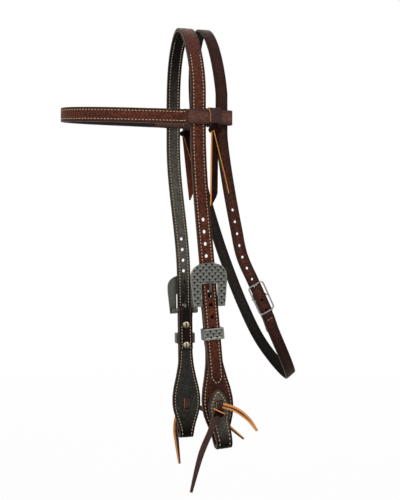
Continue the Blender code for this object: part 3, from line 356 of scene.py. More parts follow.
class HeadstallSizes(bpy.types.PropertyGroup):
    """The sizes of the sewing and of the stamping."""

    stitch_pitch: bpy.props.FloatProperty(
        name="Stitch pitch", description="From one stitch to the next", default=3.5 * MM,
        min=1.5 * MM, max=8 * MM, unit="LENGTH", precision=4,
    )
    stitch_length: bpy.props.FloatProperty(
        name="Stitch length", description="Thread that shows of one stitch", default=1.9 * MM,
        min=1 * MM, max=7 * MM, unit="LENGTH", precision=4,
    )
    thread: bpy.props.FloatProperty(
        name="Thread", description="Thickness of the sewing thread", default=0.88 * MM,
        min=0.3 * MM, max=1.5 * MM, unit="LENGTH", precision=5,
    )
    stitch_inset: bpy.props.FloatProperty(
        name="Stitch inset", description="From a strap's edge to its row of stitches",
        default=2.9 * MM, min=1 * MM, max=5 * MM, unit="LENGTH", precision=4,
    )
    stamp_width: bpy.props.FloatProperty(
        name="Stamp width", description="One stamp of the basket weave along its row",
        default=6.3 * MM, min=2 * MM, max=10 * MM, unit="LENGTH", precision=4,
    )
    stamp_height: bpy.props.FloatProperty(
        name="Stamp height", description="From one row of stamps to the next",
        default=3.1 * MM, min=1.5 * MM, max=8 * MM, unit="LENGTH", precision=4,
    )
    stamp_depth: bpy.props.FloatProperty(
        name="Stamp depth", description="How deep the weave is struck", default=0.55 * MM,
        min=0.1 * MM, max=1 * MM, unit="LENGTH", precision=5,
    )


def colour_property(name, description, hex_colour):
    """A colour for the panel, given in sRGB hex and kept linear."""
    return bpy.props.FloatVectorProperty(
        name=name, description=description, size=3, subtype="COLOR", min=0.0, max=1.0,
        default=linear(hex_colour),
    )


class HeadstallColours(bpy.types.PropertyGroup):
    """The colours of the leathers, the thread and the metals."""

    harness: colour_property("Harness leather", "Grain side of the stitched straps", "#532719")
    plain: colour_property("Plain leather", "Grain side of the throatlatch", "#4a2b22")
    tab: colour_property("Tab leather", "Inner ply of the browband, with its tabs", "#5c3c31")
    lining: colour_property("Lining", "Lining leather of crown and cheeks", "#57544d")
    flesh: colour_property("Flesh side", "Waxed flesh side of the plain leather", "#27221e")
    burnish: colour_property("Burnished edge", "Dyed and rubbed strap edges", "#1d1411")
    wall: colour_property("Strap wall", "Waxed thickness of the straps", "#523f38")
    latigo: colour_property("Latigo", "Faces of the thong ties", "#452f2d")
    tail: colour_property("Tie tail", "Outer faces of the long thong tails", "#24120e")
    tail_back: colour_property("Tie tail back", "Inner faces of the long thong tails", "#6b3b2e")
    raw_edge: colour_property("Raw edge", "Cut edges of the thong ties", "#d68f4c")
    thread: colour_property("Thread", "Waxed sewing thread", "#cbb28e")
    silver: colour_property("Silver", "Raised parts of the antiqued silver", "#999a92")
    tarnish: colour_property("Tarnish", "Recesses of the antiqued silver", "#1c1d1a")
    # On the screw heads the nickel is painted as a highlight above the middle, and the dark brass
    # as a painted reflection round the lower rim
    nickel: colour_property("Nickel", "Rubbed middle of the screw heads", "#cdc5ab")
    screw_dark_reflection: colour_property("Brass", "Tarnished rim of the screw heads", "#2e2812")
    chrome: colour_property("Chrome", "Throatlatch buckle", "#93938f")
    floor: colour_property("Floor", "Plain studio floor", "#f7f7f5")


# Shapes worked out as whole arrays

def unit(rows):
    """Each row divided by its own length."""
    return rows / np.linalg.norm(rows, axis=-1, keepdims=True)


def smooth_step(share):
    """Three times the square less twice the cube of the share, which is held from 0 to 1."""
    share = np.clip(share, 0.0, 1.0)
    return share * share * (3 - 2 * share)


def table_at(table, shares):
    """Straight lines between the table's (share, value) rows."""
    rows = np.array(table)
    return np.interp(shares, rows[:, 0], rows[:, 1])


def bezier_through(knots, first_way, last_way, steps):
    """Cubic Bezier pieces through knots, each handle a third of its piece along the mean way."""
    knots = np.array(knots, float)
    ways = unit(np.vstack([[first_way], knots[2:] - knots[:-2], [last_way]]))
    reach = np.linalg.norm(np.diff(knots, axis=0), axis=1, keepdims=True) / 3
    t = np.linspace(0.0, 1.0, steps + 1)[:-1, None, None]
    first, second = knots[:-1], knots[:-1] + ways[:-1] * reach
    third, fourth = knots[1:] - ways[1:] * reach, knots[1:]
    pieces = (
        first * (1 - t) ** 3 + second * 3 * t * (1 - t) ** 2
        + third * 3 * t ** 2 * (1 - t) + fourth * t ** 3
    )
    return np.vstack([pieces.transpose(1, 0, 2).reshape(-1, 3), knots[-1:]])


def frames_along(points, hints, turn=1.0):
    """Across is each station's hint made square to the path; out is across x along, times turn."""
    points = np.asarray(points, float)
    gaps = np.diff(points, axis=0)
    steps = unit(gaps)
    along = unit(np.vstack([steps[:1], steps]) + np.vstack([steps, steps[-1:]]))
    hints = np.broadcast_to(hints, points.shape)
    across = unit(hints - along * np.sum(hints * along, axis=1, keepdims=True))
    length = np.concatenate([[0.0], np.cumsum(np.linalg.norm(gaps, axis=1))])
    return Path(points, across, np.cross(across, along) * turn, length)


def at_lengths(path, lengths):
    """The path's point, across and out, interpolated at distances along it."""
    rows = [
        np.stack([np.interp(lengths, path.length, part[:, i]) for i in range(3)], axis=1)
        for part in (path.point, path.across, path.out)
    ]
    return Path(rows[0], unit(rows[1]), unit(rows[2]), np.asarray(lengths, float))


def with_soft_ends(path, halves, corner):
    """More stations close to both ends, so that the ends can be rounded over."""
    near = corner * np.array((0.08, 0.3, 0.6, 1.0))
    last = path.length[-1]
    lengths = np.unique(np.concatenate([path.length, near, last - near]))
    return at_lengths(path, lengths), np.interp(lengths, path.length, halves)


def strap_profile(ply, corner, groove, inset):
    """Half of a strap's section, from the outer face's middle round the edge to the inner face's.

    Each corner is a point: its distance in from the edge, and its height above the inner face.
    The corners are quarter circles, and each face dips along the row of stitches.
    """
    turn = np.linspace(0.0, math.pi / 2, 4)
    apart = np.array((9.0, 0.75, 0.35, 0.0, -0.35, -0.75)) * MM
    dip = groove * np.array((0.0, 0.0, 0.45, 1.0, 0.45, 0.0))
    edge = np.concatenate([inset + apart, corner * (1 - np.sin(turn))])
    height = np.concatenate([ply - dip, ply - corner * (1 - np.cos(turn))])
    mirrored = np.concatenate([dip, corner * (1 - np.cos(turn))])
    return np.concatenate([edge, edge[::-1]]), np.concatenate([height, mirrored[::-1]])


def tube_faces(rows, columns, closed=False):
    """Quads of a grid whose columns wrap round, with both ends closed by one face each."""
    index = np.arange(rows * columns).reshape(rows, columns)
    following = np.roll(index, -1, axis=1)
    if closed:
        after, after_following = np.roll(index, -1, axis=0), np.roll(following, -1, axis=0)
        quads = np.stack([index, following, after_following, after], axis=-1)
        return quads.reshape(-1, 4).tolist()
    quads = np.stack([index[:-1], following[:-1], following[1:], index[1:]], axis=-1)
    return quads.reshape(-1, 4).tolist() + [index[0].tolist(), index[-1].tolist()]


def strap_shell(path, halves, inner, outer, groove=0.0, bulge=0.0, corner=0.6 * MM, inset=2.9 * MM):
    """A strap: its section is carried along the path, between two distances out from it.

    Across is the half width less the distance in from the edge. The outer face rises by bulge times
    one less the square of across over the half width. Near both ends the section shrinks by a
    quarter circle.
    """
    path, halves = with_soft_ends(path, np.broadcast_to(halves, path.length.shape), corner)
    edge, height = strap_profile(outer - inner, corner, groove, inset)
    ends = np.minimum(path.length, path.length[-1] - path.length)
    shrink = corner - np.sqrt(corner ** 2 - (corner - np.minimum(ends, corner)) ** 2)
    halves = np.maximum(halves - shrink, corner / 4)
    squeeze = np.minimum(halves / (inset + 1.6 * MM), 1.0)
    across = np.maximum(halves[:, None] - edge * squeeze[:, None], 0.0)
    # The two points in the middle of each face meet, so one of each pair is dropped
    across = np.hstack([across, -across[:, ::-1][:, 1:-1]])
    rise = np.concatenate([height, height[::-1][1:-1]])
    share = rise / (outer - inner)
    lift = inner + rise + bulge * (share > 0.5) * (1 - (across / halves[:, None]) ** 2)
    lift = np.clip(lift, inner + shrink[:, None], outer + bulge - shrink[:, None])
    points = (
        path.point[:, None] + across[..., None] * path.across[:, None]
        + lift[..., None] * path.out[:, None]
    )
    lie = np.stack([np.broadcast_to(path.length[:, None], across.shape), across], axis=-1)
    inside = halves[:, None] - np.abs(across)
    depth = np.stack([inside, np.broadcast_to(share, across.shape)], axis=-1)
    return plain_shell(points, lie=lie, edge=depth)


def plain_shell(rings, closed=False, lie=None, edge=None):
    """A shell through rings of points that all have the same number of corners."""
    rows, columns = rings.shape[:2]
    blank = np.zeros((rows * columns, 2))
    return Shell(
        rings.reshape(-1, 3), tube_faces(rows, columns, closed),
        blank if lie is None else lie.reshape(-1, 2),
        blank if edge is None else edge.reshape(-1, 2),
    )


def rod_shell(ends, radii, sides=20):
    """Circles of the given radii, square to the line between the two ends."""
    start, end = np.asarray(ends[0], float), np.asarray(ends[1], float)
    way = unit(end - start)
    flat = unit(np.cross(way, UP if abs(way[2]) < 0.9 else REAR))
    turn = np.linspace(0.0, 2 * math.pi, sides, endpoint=False)[:, None]
    circle = flat * np.cos(turn) + np.cross(way, flat) * np.sin(turn)
    shares = np.linspace(0.0, 1.0, len(radii))[:, None, None]
    return plain_shell(start + (end - start) * shares + circle * np.array(radii)[:, None, None])


def wire_shell(points, radius, sides=12, closed=False):
    """A round wire: a circle carried along a line of points, in each point's own cross plane."""
    points = np.asarray(points, float)
    if closed:
        before, after = np.roll(points, 1, axis=0), np.roll(points, -1, axis=0)
        along = unit(after - before)
    else:
        along = unit(np.gradient(points, axis=0))
    first = unit(np.cross(along, REAR + UP * 0.37))
    second = np.cross(along, first)
    turn = np.linspace(0.0, 2 * math.pi, sides, endpoint=False)[None, :, None]
    size = np.broadcast_to(radius, (len(points),))[:, None, None]
    circle = first[:, None] * np.cos(turn) + second[:, None] * np.sin(turn)
    return plain_shell(points[:, None] + size * circle, closed)


def box_shell(spot, across, out, down):
    """A box between pairs of distances along a place's three directions."""
    ring = np.array([(x, y) for x, y in ((0, 0), (1, 0), (1, 1), (0, 1))])
    corners = [place(spot, across[i], out[j], deep) for deep in down for i, j in ring]
    return plain_shell(np.array(corners).reshape(2, 4, 3))


def stitch_shell(centres, along, out, length, thread):
    """Stitches as short threads: four rings of six corners each, fattest in the middle."""
    reach = np.array((-0.5, -0.34, 0.34, 0.5)) * length
    fat = np.array((0.3, 0.95, 0.95, 0.3)) * thread / 2
    turn = np.linspace(0.0, 2 * math.pi, 6, endpoint=False)
    side = np.cross(along, out)
    circle = (
        side[:, None, None] * np.cos(turn)[None, None, :, None]
        + out[:, None, None] * np.sin(turn)[None, None, :, None]
    )
    rings = (
        centres[:, None, None] + along[:, None, None] * reach[None, :, None, None]
        + circle * fat[None, :, None, None]
    )
    one = np.array(tube_faces(4, 6)[:18])
    shift = np.arange(len(centres))[:, None, None] * 24
    quads = (one[None] + shift).reshape(-1, 4).tolist()
    caps = np.array([list(range(6)), list(range(18, 24))])
    caps = (caps[None] + shift).reshape(-1, 6).tolist()
    blank = np.zeros((rings.size // 3, 2))
    return Shell(rings.reshape(-1, 3), quads + caps, blank, blank)


def inset_row(lengths, halves, inset):
    """A strap's edge moved in by inset along its own normal, as (length, across).

    What would cross the strap's middle or pass its ends is left out.
    """
    slope = np.gradient(halves, lengths)
    lean = np.sqrt(1 + slope ** 2)
    moved = lengths + slope / lean * inset
    across = halves - inset / lean
    inside = (across > 0.25 * MM) & (moved > lengths[0]) & (moved < lengths[-1])
    order = np.argsort(moved[inside])
    return moved[inside][order], across[inside][order]


def sew(path, halves, lifts, sizes, bare=None, span=None):
    """Rows of stitches on both sides of a strap, at each height out from its path."""
    fine = np.arange(path.length[0], path.length[-1], 0.25 * MM)
    row, across = inset_row(fine, np.interp(fine, path.length, halves), sizes.stitch_inset)
    walked = np.concatenate([[0.0], np.cumsum(np.hypot(np.diff(row), np.diff(across)))])
    spots = np.arange(sizes.stitch_pitch / 2, walked[-1], sizes.stitch_pitch)
    lengths, wide = np.interp(spots, walked, row), np.interp(spots, walked, across)
    kept = np.ones(len(lengths), bool)
    if bare:
        kept &= (lengths < bare[0]) | (lengths > bare[1])
    if span:
        kept &= (lengths > span[0]) & (lengths < span[1])
    lengths, wide = lengths[kept], wide[kept]
    slope = np.interp(lengths, row, np.gradient(across, row))
    here = at_lengths(path, lengths)
    along = np.cross(here.out, here.across)
    ahead = at_lengths(path, lengths + MM).point - here.point
    along *= np.sign(np.sum(along * ahead, axis=1))[:, None]
    shells = []
    for way in (-1, 1):
        for lift in lifts:
            centres = here.point + here.across * (wide * way)[:, None] + here.out * lift
            lean = unit(along + here.across * (slope * way + 0.12)[:, None])
            shells.append(stitch_shell(centres, lean, here.out, sizes.stitch_length, sizes.thread))
    return shells


# Places on the headstall

def place(spot, across, out, down):
    """The place's origin plus each distance times its direction."""
    across, out, down = np.broadcast_arrays(across, out, down)
    return (
        spot.origin + across[..., None] * spot.across + out[..., None] * spot.out
        + down[..., None] * spot.down
    )


def behind_poll(rear, sideways, level):
    """Points by their distances behind the crown's middle line, sideways, and up from the poll."""
    rear, sideways, level = np.broadcast_arrays(rear, sideways, level)
    return np.stack([LEG_SETBACK + rear, sideways, level], axis=-1).astype(float)


def cheek_place(side):
    """The buckle bar of one side: across to the rear, out from the horse, down the strap."""
    lean_cos, lean_sin = math.cos(side.lean), math.sin(side.lean)
    origin = behind_poll(side.bar_rear, side.sign * (HALF_SPREAD - CROWN_IN), side.slip - BAR_DROP)
    return Place(
        origin, np.array((lean_cos, 0.0, lean_sin)), np.array((0.0, side.sign, 0.0)),
        np.array((lean_sin, 0.0, -lean_cos)),
    )


def throat_place():
    """The centre bar of the throatlatch buckle, tipped back and turned in under the jaw."""
    across = np.array((math.cos(THROAT_LEAN), 0.0, math.sin(THROAT_LEAN)))
    flat_down = np.array((math.sin(THROAT_LEAN), 0.0, -math.cos(THROAT_LEAN)))
    down = flat_down * math.cos(THROAT_TURN_IN) + np.array((0.0, math.sin(THROAT_TURN_IN), 0.0))
    origin = behind_poll(THROAT_BUCKLE_REAR, -THROAT_BUCKLE_SPREAD, -THROAT_BUCKLE_DROP)
    return Place(origin, across, np.cross(down, across), down)


def tab_place(side):
    """A tab's middle: across to the rear, out from the horse, level with the canted browband."""
    origin = behind_poll(0.0, 0.0, side.sign * BROW_CANT - BROW_DROP)
    return Place(origin, REAR, np.array((0.0, side.sign, 0.0)), -UP)


# Objects and materials

def make_object(name, shells):
    """One mesh from shells, with a map of where it lies on the strap and one of its edges."""
    starts = np.cumsum([0] + [len(shell.points) for shell in shells])
    faces = [
        [i + start for i in face] for shell, start in zip(shells, starts) for face in shell.faces
    ]
    mesh = bpy.data.meshes.new(name)
    mesh.from_pydata(np.vstack([shell.points for shell in shells]), [], faces)
    corner = np.zeros(len(mesh.loops), np.int32)
    mesh.loops.foreach_get("vertex_index", corner)
    for title, part in (("Lie", "lie"), ("Edge", "edge")):
        layer = mesh.uv_layers.new(name=title)
        values = np.vstack([getattr(shell, part) for shell in shells])[corner]
        layer.data.foreach_set("uv", values.astype(np.float32).ravel())
    shape = bmesh.new()
    shape.from_mesh(mesh)
    bmesh.ops.recalc_face_normals(shape, faces=shape.faces)
    shape.to_mesh(mesh)
    shape.free()
    made = bpy.data.objects.new(name, mesh)
    bpy.context.scene.collection.objects.link(made)
    return made


def carve(made, shells, operation="DIFFERENCE"):
    """Cut shells out of an object, or join them to it, and keep the result as its mesh."""
    tool = make_object(f"{made.name}_tool", shells)
    step = made.modifiers.new("carve", "BOOLEAN")
    step.operation, step.solver, step.object = operation, "EXACT", tool
    graph = bpy.context.evaluated_depsgraph_get()
    mesh = bpy.data.meshes.new_from_object(made.evaluated_get(graph))
    made.modifiers.clear()
    old = made.data
    made.data = mesh
    mesh.name = old.name
    bpy.data.meshes.remove(old)
    bpy.data.meshes.remove(tool.data)


def dress(made, look, body, slot, *nodes, sharp=38.0):
    """Finish a piece: its shading, material, body, and the nodes that it stands for."""
    made.data.shade_smooth()
    made.data.set_sharp_from_angle(angle=math.radians(sharp))
    made.data.materials.clear()
    made.data.materials.append(look)
    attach(made, body)
    if nodes:
        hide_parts(*nodes)
    return made


def add(tree, kind, values=(), links=(), **settings):
    """Add a node, set its sockets and attributes, and link its inputs."""
    node = tree.nodes.new(kind)
    for name, value in settings.items():
        setattr(node, name, value)
    for socket, value in values:
        node.inputs[socket].default_value = value
    for socket, source in links:
        tree.links.new(source, node.inputs[socket])
    return node


def new_material(name, **sockets):
    """A material with its shader, whose named sockets take plain numbers or colours."""
    made = bpy.data.materials.get(name)
    if made:
        bpy.data.materials.remove(made)
    made = bpy.data.materials.new(name)
    made.use_nodes = True
    shader = made.node_tree.nodes["Principled BSDF"]
    for socket, value in sockets.items():
        shader.inputs[socket.replace("_", " ")].default_value = value
    return made, made.node_tree, shader


def rgba(colour, bright=1.0):
    """A colour times a brightness, held at 1, with a full fourth part."""
    return tuple(min(part * bright, 1.0) for part in colour) + (1.0,)


def leather(name, grain, flesh, burnish, pebble, wall=None, fades=(), shine=0.12,
            mottle=(0.3, 1.8)):
    """Vegetable-tanned leather: pebbled and mottled grain, and an edge that is dyed or raw.

    The Edge map gives the distance in from the strap's edge, and which face a point is on, from 0
    on the inner to 1 on the outer. A wall colour shows on the waxed thickness of the strap; without
    one, the edge is raw. A fade is (map, axis, start, end, low): the colour is scaled by low at the
    start, and is whole at the end. The pebbles are drawn about twice as coarse as real grain, which
    would be too fine to show.
    """
    made, tree, shader = new_material(name, IOR=1.48, Specular_IOR_Level=shine)
    spot = add(tree, "ShaderNodeTexCoord").outputs["Object"]
    edge_map = add(tree, "ShaderNodeUVMap", uv_map="Edge").outputs["UV"]
    parts = add(tree, "ShaderNodeSeparateXYZ", links=[("Vector", edge_map)])
    fine, clouds, patches = (
        add(
            tree, "ShaderNodeTexNoise",
            [("Scale", 1 / size), ("Detail", 3.0), ("Roughness", rough)], [("Vector", spot)],
        ).outputs["Fac"]
        for size, rough in ((PORE, 0.7), (CLOUD, 0.6), (PATCH, 0.7))
    )
    cells = add(
        tree, "ShaderNodeTexVoronoi", [("Scale", 1 / pebble), ("Randomness", 1.0)],
        [("Vector", spot)], feature="DISTANCE_TO_EDGE",
    ).outputs["Distance"]
    # Each pattern with the range that it is read over and the brightness at both its ends
    scales = [
        (cells, 0.0, 0.16, 0.5, 1.0), (clouds, 0.35, 0.65, 0.86, 1.14),
        (patches, 0.4, 0.6, *mottle), (fine, 0.3, 0.7, 0.6, 1.4),
    ]
    raw = wall is None
    if not raw:
        # Lighter along the middle than outside the stitches: a painted sheen on the crowned middle
        # and painted shade towards the edges
        scales.append((parts.outputs["X"], 1.6 * MM, 5.5 * MM, 0.72, 1.12))
    for source, axis, start, end, low in fades:
        lie = spot
        if source != "Object":
            lie = add(tree, "ShaderNodeUVMap", uv_map=source).outputs["UV"]
        lie = add(tree, "ShaderNodeSeparateXYZ", links=[("Vector", lie)])
        scales.append((lie.outputs[axis], start, end, low, 1.0))
    tone = None
    for source, start, end, low, high in scales:
        scale = add(
            tree, "ShaderNodeMapRange",
            [("From Min", start), ("From Max", end), ("To Min", low), ("To Max", high)],
            [("Value", source)],
        ).outputs["Result"]
        tone = scale if tone is None else add(
            tree, "ShaderNodeMath", links=[(0, tone), (1, scale)], operation="MULTIPLY",
        ).outputs[0]
    face = add(
        tree, "ShaderNodeMapRange", [("From Min", 0.35), ("From Max", 0.65)],
        [("Value", parts.outputs["Y"])],
    )
    sides = add(
        tree, "ShaderNodeMix", [(6, rgba(flesh)), (7, rgba(grain))],
        [(0, face.outputs["Result"])], data_type="RGBA",
    )
    toned = add(
        tree, "ShaderNodeVectorMath", links=[(0, sides.outputs[2]), (1, tone)],
        operation="MULTIPLY",
    )
    reach = (0.05 * MM, 0.5 * MM) if raw else (0.25 * MM, 1.0 * MM)
    inside = add(
        tree, "ShaderNodeMapRange", [("From Min", reach[0]), ("From Max", reach[1])],
        [("Value", parts.outputs["X"])],
    )
    colour = add(
        tree, "ShaderNodeMix", [(6, rgba(burnish))],
        [(0, inside.outputs["Result"]), (7, toned.outputs[0])], data_type="RGBA",
    )
    if not raw:
        # Halfway up the thickness is the wall; the two faces are at 0 and at 1
        up = add(
            tree, "ShaderNodeMath", [(1, 0.5)], [(0, parts.outputs["Y"])], operation="SUBTRACT",
        )
        up = add(tree, "ShaderNodeMath", links=[(0, up.outputs[0])], operation="ABSOLUTE")
        on_wall = add(
            tree, "ShaderNodeMapRange", [("From Min", 0.49), ("From Max", 0.38)],
            [("Value", up.outputs[0])],
        )
        colour = add(
            tree, "ShaderNodeMix", [(7, rgba(wall))],
            [(0, on_wall.outputs["Result"]), (6, colour.outputs[2])], data_type="RGBA",
        )
    rough = add(
        tree, "ShaderNodeMapRange", [("To Min", 0.42), ("To Max", 0.66)],
        [("Value", patches)],
    )
    relief = add(
        tree, "ShaderNodeMath", [(1, 0.6)], [(0, fine), (2, tone)], operation="MULTIPLY_ADD",
    )
    bump = add(
        tree, "ShaderNodeBump", [("Strength", 0.7), ("Distance", 0.2 * MM)],
        [("Height", relief.outputs[0])],
    )
    tree.links.new(colour.outputs[2], shader.inputs["Base Color"])
    tree.links.new(rough.outputs["Result"], shader.inputs["Roughness"])
    tree.links.new(bump.outputs["Normal"], shader.inputs["Normal"])
    return made


def antiqued_silver(colours):
    """Cast nickel silver, struck with a weave, blackened, and rubbed bright on the high parts.

    The Edge map gives how far a point is rubbed back, from 0 in a recess to 1 on top.
    """
    made, tree, shader = new_material("nickel_silver_cast_and_antiqued", Metallic=1.0)
    spot = add(tree, "ShaderNodeTexCoord").outputs["Object"]
    relief_map = add(tree, "ShaderNodeUVMap", uv_map="Edge")
    parts = add(tree, "ShaderNodeSeparateXYZ", links=[("Vector", relief_map.outputs["UV"])])
    rubbed = add(
        tree, "ShaderNodeTexNoise",
        [("Scale", 1 / (2.5 * MM)), ("Detail", 4.0), ("Roughness", 0.65)], [("Vector", spot)],
    )
    worn = add(
        tree, "ShaderNodeMath", [(1, 0.5)],
        [(0, rubbed.outputs["Fac"]), (2, parts.outputs["X"])], operation="MULTIPLY_ADD",
    )
    bright = add(
        tree, "ShaderNodeMapRange", [("From Min", 0.55), ("From Max", 1.45)],
        [("Value", worn.outputs[0])],
    )
    colour = add(
        tree, "ShaderNodeMix", [(6, rgba(colours.tarnish)), (7, rgba(colours.silver))],
        [(0, bright.outputs["Result"])], data_type="RGBA",
    )
    rough = add(
        tree, "ShaderNodeMapRange", [("To Min", 0.55), ("To Max", 0.3)],
        [("Value", bright.outputs["Result"])],
    )
    scratches = add(
        tree, "ShaderNodeTexNoise", [("Scale", 1 / (0.5 * MM)), ("Detail", 2.0)],
        [("Vector", spot)],
    )
    bump = add(
        tree, "ShaderNodeBump", [("Strength", 0.35), ("Distance", 0.05 * MM)],
        [("Height", scratches.outputs["Fac"])],
    )
    tree.links.new(colour.outputs[2], shader.inputs["Base Color"])
    tree.links.new(rough.outputs["Result"], shader.inputs["Roughness"])
    tree.links.new(bump.outputs["Normal"], shader.inputs["Normal"])
    return made


def plated(name, colour, worn, gloss):
    """Polished plating with faint smears from handling; where the Edge map is low it turns to the
    second colour, a painted dark reflection on the screw heads.
    """
    made, tree, shader = new_material(name, Metallic=1.0)
    spot = add(tree, "ShaderNodeTexCoord").outputs["Object"]
    edge_map = add(tree, "ShaderNodeUVMap", uv_map="Edge")
    parts = add(tree, "ShaderNodeSeparateXYZ", links=[("Vector", edge_map.outputs["UV"])])
    # The second colour where the Edge map is low: a painted dark reflection on the screw heads, the
    # same chrome on the throat buckle
    tint = add(
        tree, "ShaderNodeMix", [(6, rgba(worn)), (7, rgba(colour))], [(0, parts.outputs["X"])],
        data_type="RGBA",
    )
    tree.links.new(tint.outputs[2], shader.inputs["Base Color"])
    smears = add(
        tree, "ShaderNodeTexNoise", [("Scale", 1 / (3 * MM)), ("Detail", 3.0)], [("Vector", spot)],
    )
    rough = add(
        tree, "ShaderNodeMapRange", [("To Min", gloss), ("To Max", gloss + 0.16)],
        [("Value", smears.outputs["Fac"])],
    )
    tree.links.new(rough.outputs["Result"], shader.inputs["Roughness"])
    return made


def waxed_thread(colours):
    """Twisted polyester thread with wax in its twist, which darkens it in bands.

    The bands are 2.2 mm apart, coarser than a real twist, so that they show.
    """
    made, tree, shader = new_material("polyester_thread_twisted_and_waxed", Roughness=0.6, IOR=1.5)
    spot = add(tree, "ShaderNodeTexCoord").outputs["Object"]
    twist = add(
        tree, "ShaderNodeTexWave", [("Scale", 1 / (2.2 * MM)), ("Distortion", 3.0)],
        [("Vector", spot)], bands_direction="DIAGONAL",
    )
    colour = add(
        tree, "ShaderNodeMix", [(6, rgba(colours.thread, 0.72)), (7, rgba(colours.thread, 1.1))],
        [(0, twist.outputs["Fac"])], data_type="RGBA",
    )
    tree.links.new(colour.outputs[2], shader.inputs["Base Color"])
    return made


def look(name):
    """A finish by its short name, made the first time that it is asked for."""
    colours = bpy.context.scene.headstall_colours
    # Where each leather is darker: map, axis, dark end, plain end, and how dark
    turnback = ("Lie", "X", CHAPE_END, CHAPE_END + 12 * MM, 0.09)
    # Painted shade on the lining under the arch over the poll
    poll = ("Object", "Z", -0.015, -0.17, 0.06)
    # Painted shade on the lining just above the buckle bars, behind the buckles
    billet = ("Object", "Z", -0.285, -0.262, 0.2)
    flap = ("Lie", "X", BIT_END - LOWER_SCREW - 4 * MM, BIT_END - LOWER_SCREW + 16 * MM, 0.34)
    # Darker towards the bit on the cheek: oil, and painted shade round the flap
    oil_and_painted_shade = ("Lie", "X", 172 * MM, 125 * MM, 0.32)
    dyed, wall, lining, tail = colours.burnish, colours.wall, colours.lining, colours.tail
    known = {
        # Red-brown with a soft gloss, darker in its pores and at its dyed edges
        "harness": lambda: leather(
            "harness_leather_oiled", colours.harness, dyed, dyed, 1.5 * MM, wall),
        # The same strap, darkened by hands at the near billet's tip
        "crown": lambda: leather(
            "harness_leather_dark_at_the_billet_tip", colours.harness, dyed, dyed, 1.5 * MM, wall,
            fades=(("Lie", "X", 4 * MM, 48 * MM, 0.4),)),
        # The same strap, nearly black where it turns back, and darker towards the bit with oil and
        # painted shade round the flap
        "cheek": lambda: leather(
            "harness_leather_with_dark_turnback", colours.harness, dyed, dyed, 1.5 * MM, wall,
            fades=(turnback, oil_and_painted_shade)),
        # Grey and dry, with painted shade making it almost black over the poll and at the billets
        "lining": lambda: leather(
            "lining_leather_darkened_at_the_poll", lining, lining, dyed, 1.1 * MM, wall,
            (poll, billet), 0.05, (0.6, 1.45)),
        # Dull brown all through, darker over the poll and at the foot
        "plain": lambda: leather(
            "bridle_leather_dyed_through", colours.plain, colours.flesh, dyed, 1.2 * MM, wall,
            (("Object", "Z", -0.05, -0.2, 0.55), ("Object", "Z", -0.345, -0.3, 0.4)), 0.06,
            (0.5, 1.55)),
        # Evenly brown and smooth
        "tab": lambda: leather(
            "bridle_leather_brown", colours.tab, colours.flesh, dyed, 1.2 * MM, wall,
            mottle=(0.7, 1.3)),
        # Waxy and dark, with a bright raw line along each cut edge
        "latigo": lambda: leather(
            "latigo_leather_cut_by_hand", colours.latigo, colours.latigo, colours.raw_edge,
            1.3 * MM, mottle=(0.7, 1.3)),
        # The same thong, black with oil outside and red-brown inside, without gloss
        "tail": lambda: leather(
            "latigo_leather_dark_with_oil", tail, colours.tail_back, colours.raw_edge, 1.3 * MM,
            shine=0.02, mottle=(0.7, 1.3)),
        "silver": lambda: antiqued_silver(colours),
        # Nickel plating with a painted highlight above the middle of each screw head and a painted
        # dark reflection round its lower rim
        "nickel": lambda: plated("brass_nickel_plated_worn", colours.nickel, colours.screw_dark_reflection, 0.2),
        "chrome": lambda: plated("steel_wire_chrome_plated", colours.chrome, colours.chrome, 0.16),
        "thread": lambda: waxed_thread(colours),
    }
    for side in SIDES:
        foot = cheek_place(side).origin[2] - BIT_END
        # Painted shade on the cheek lining round the fold of the bit loop
        fold = ("Object", "Z", foot + 6 * MM, foot + 34 * MM, 0.05)
        name_it = f"lining_leather_dark_at_the_{side.name}_fold"
        known[f"{side.name}_cheek_lining"] = lambda fold=fold, name_it=name_it: leather(
            name_it, lining, lining, dyed, 1.1 * MM, wall, (flap, fold), 0.05, (0.6, 1.45))
    key = f"made_{name}"
    if key not in LOOKS:
        LOOKS[key] = known[name]()
    return LOOKS[key]


LOOKS = {}


# Crown

def tip_half(distance):
    """Half width near a billet's point: it closes as (1 - u^1.3)^0.8, u rising to 1 at the tip."""
    share = np.clip(1 - distance / BILLET_POINT, 0.0, 1.0)
    return STRAP_HALF * (1 - share ** 1.3) ** 0.8


def crown_leg(side):
    """One leg: an arch, then straight down, then along the cheek's lean.

    The arch goes sideways as a power of the sine and down as one less the cosine.
    """
    spot = cheek_place(side)
    turn = np.linspace(0.0, math.pi / 2, 61)[1:]
    rear = (LEG_SETBACK + side.leg_rear) * smooth_step(1 - np.cos(turn))
    sideways = side.sign * HALF_SPREAD * np.sin(turn) ** ARCH_POINT
    arch = np.stack([rear, sideways, ARCH_DROP * (np.cos(turn) - 1)], axis=1)
    straight_end = behind_poll(side.leg_rear, side.sign * HALF_SPREAD, -STRAIGHT_DROP)
    straight = arch[-1] + (straight_end - arch[-1]) * np.linspace(0.0, 1.0, 14)[1:-1, None]
    line_start = place(spot, 0.0, CROWN_IN, -LINE_RISE)
    bend = bezier_through([straight_end, line_start], -UP, spot.down, 60)
    point_start = BILLET_LENGTH - BILLET_POINT
    line = place(spot, 0.0, CROWN_IN, np.linspace(-LINE_RISE, point_start, 50)[1:])
    point = place(spot, 0.0, CROWN_IN, np.linspace(point_start, BILLET_LENGTH, 16)[1:])
    return np.vstack([arch, straight, bend, line, point])


def crown_path():
    """Both legs end to end, with their half widths and how far along the poll is."""
    legs = [crown_leg(side) for side in SIDES]
    points = np.vstack([legs[0][::-1], np.zeros((1, 3)), legs[1]])
    path = frames_along(points, REAR)
    poll = path.length[len(legs[0])]
    return path, tip_half(np.minimum(path.length, path.length[-1] - path.length)), poll


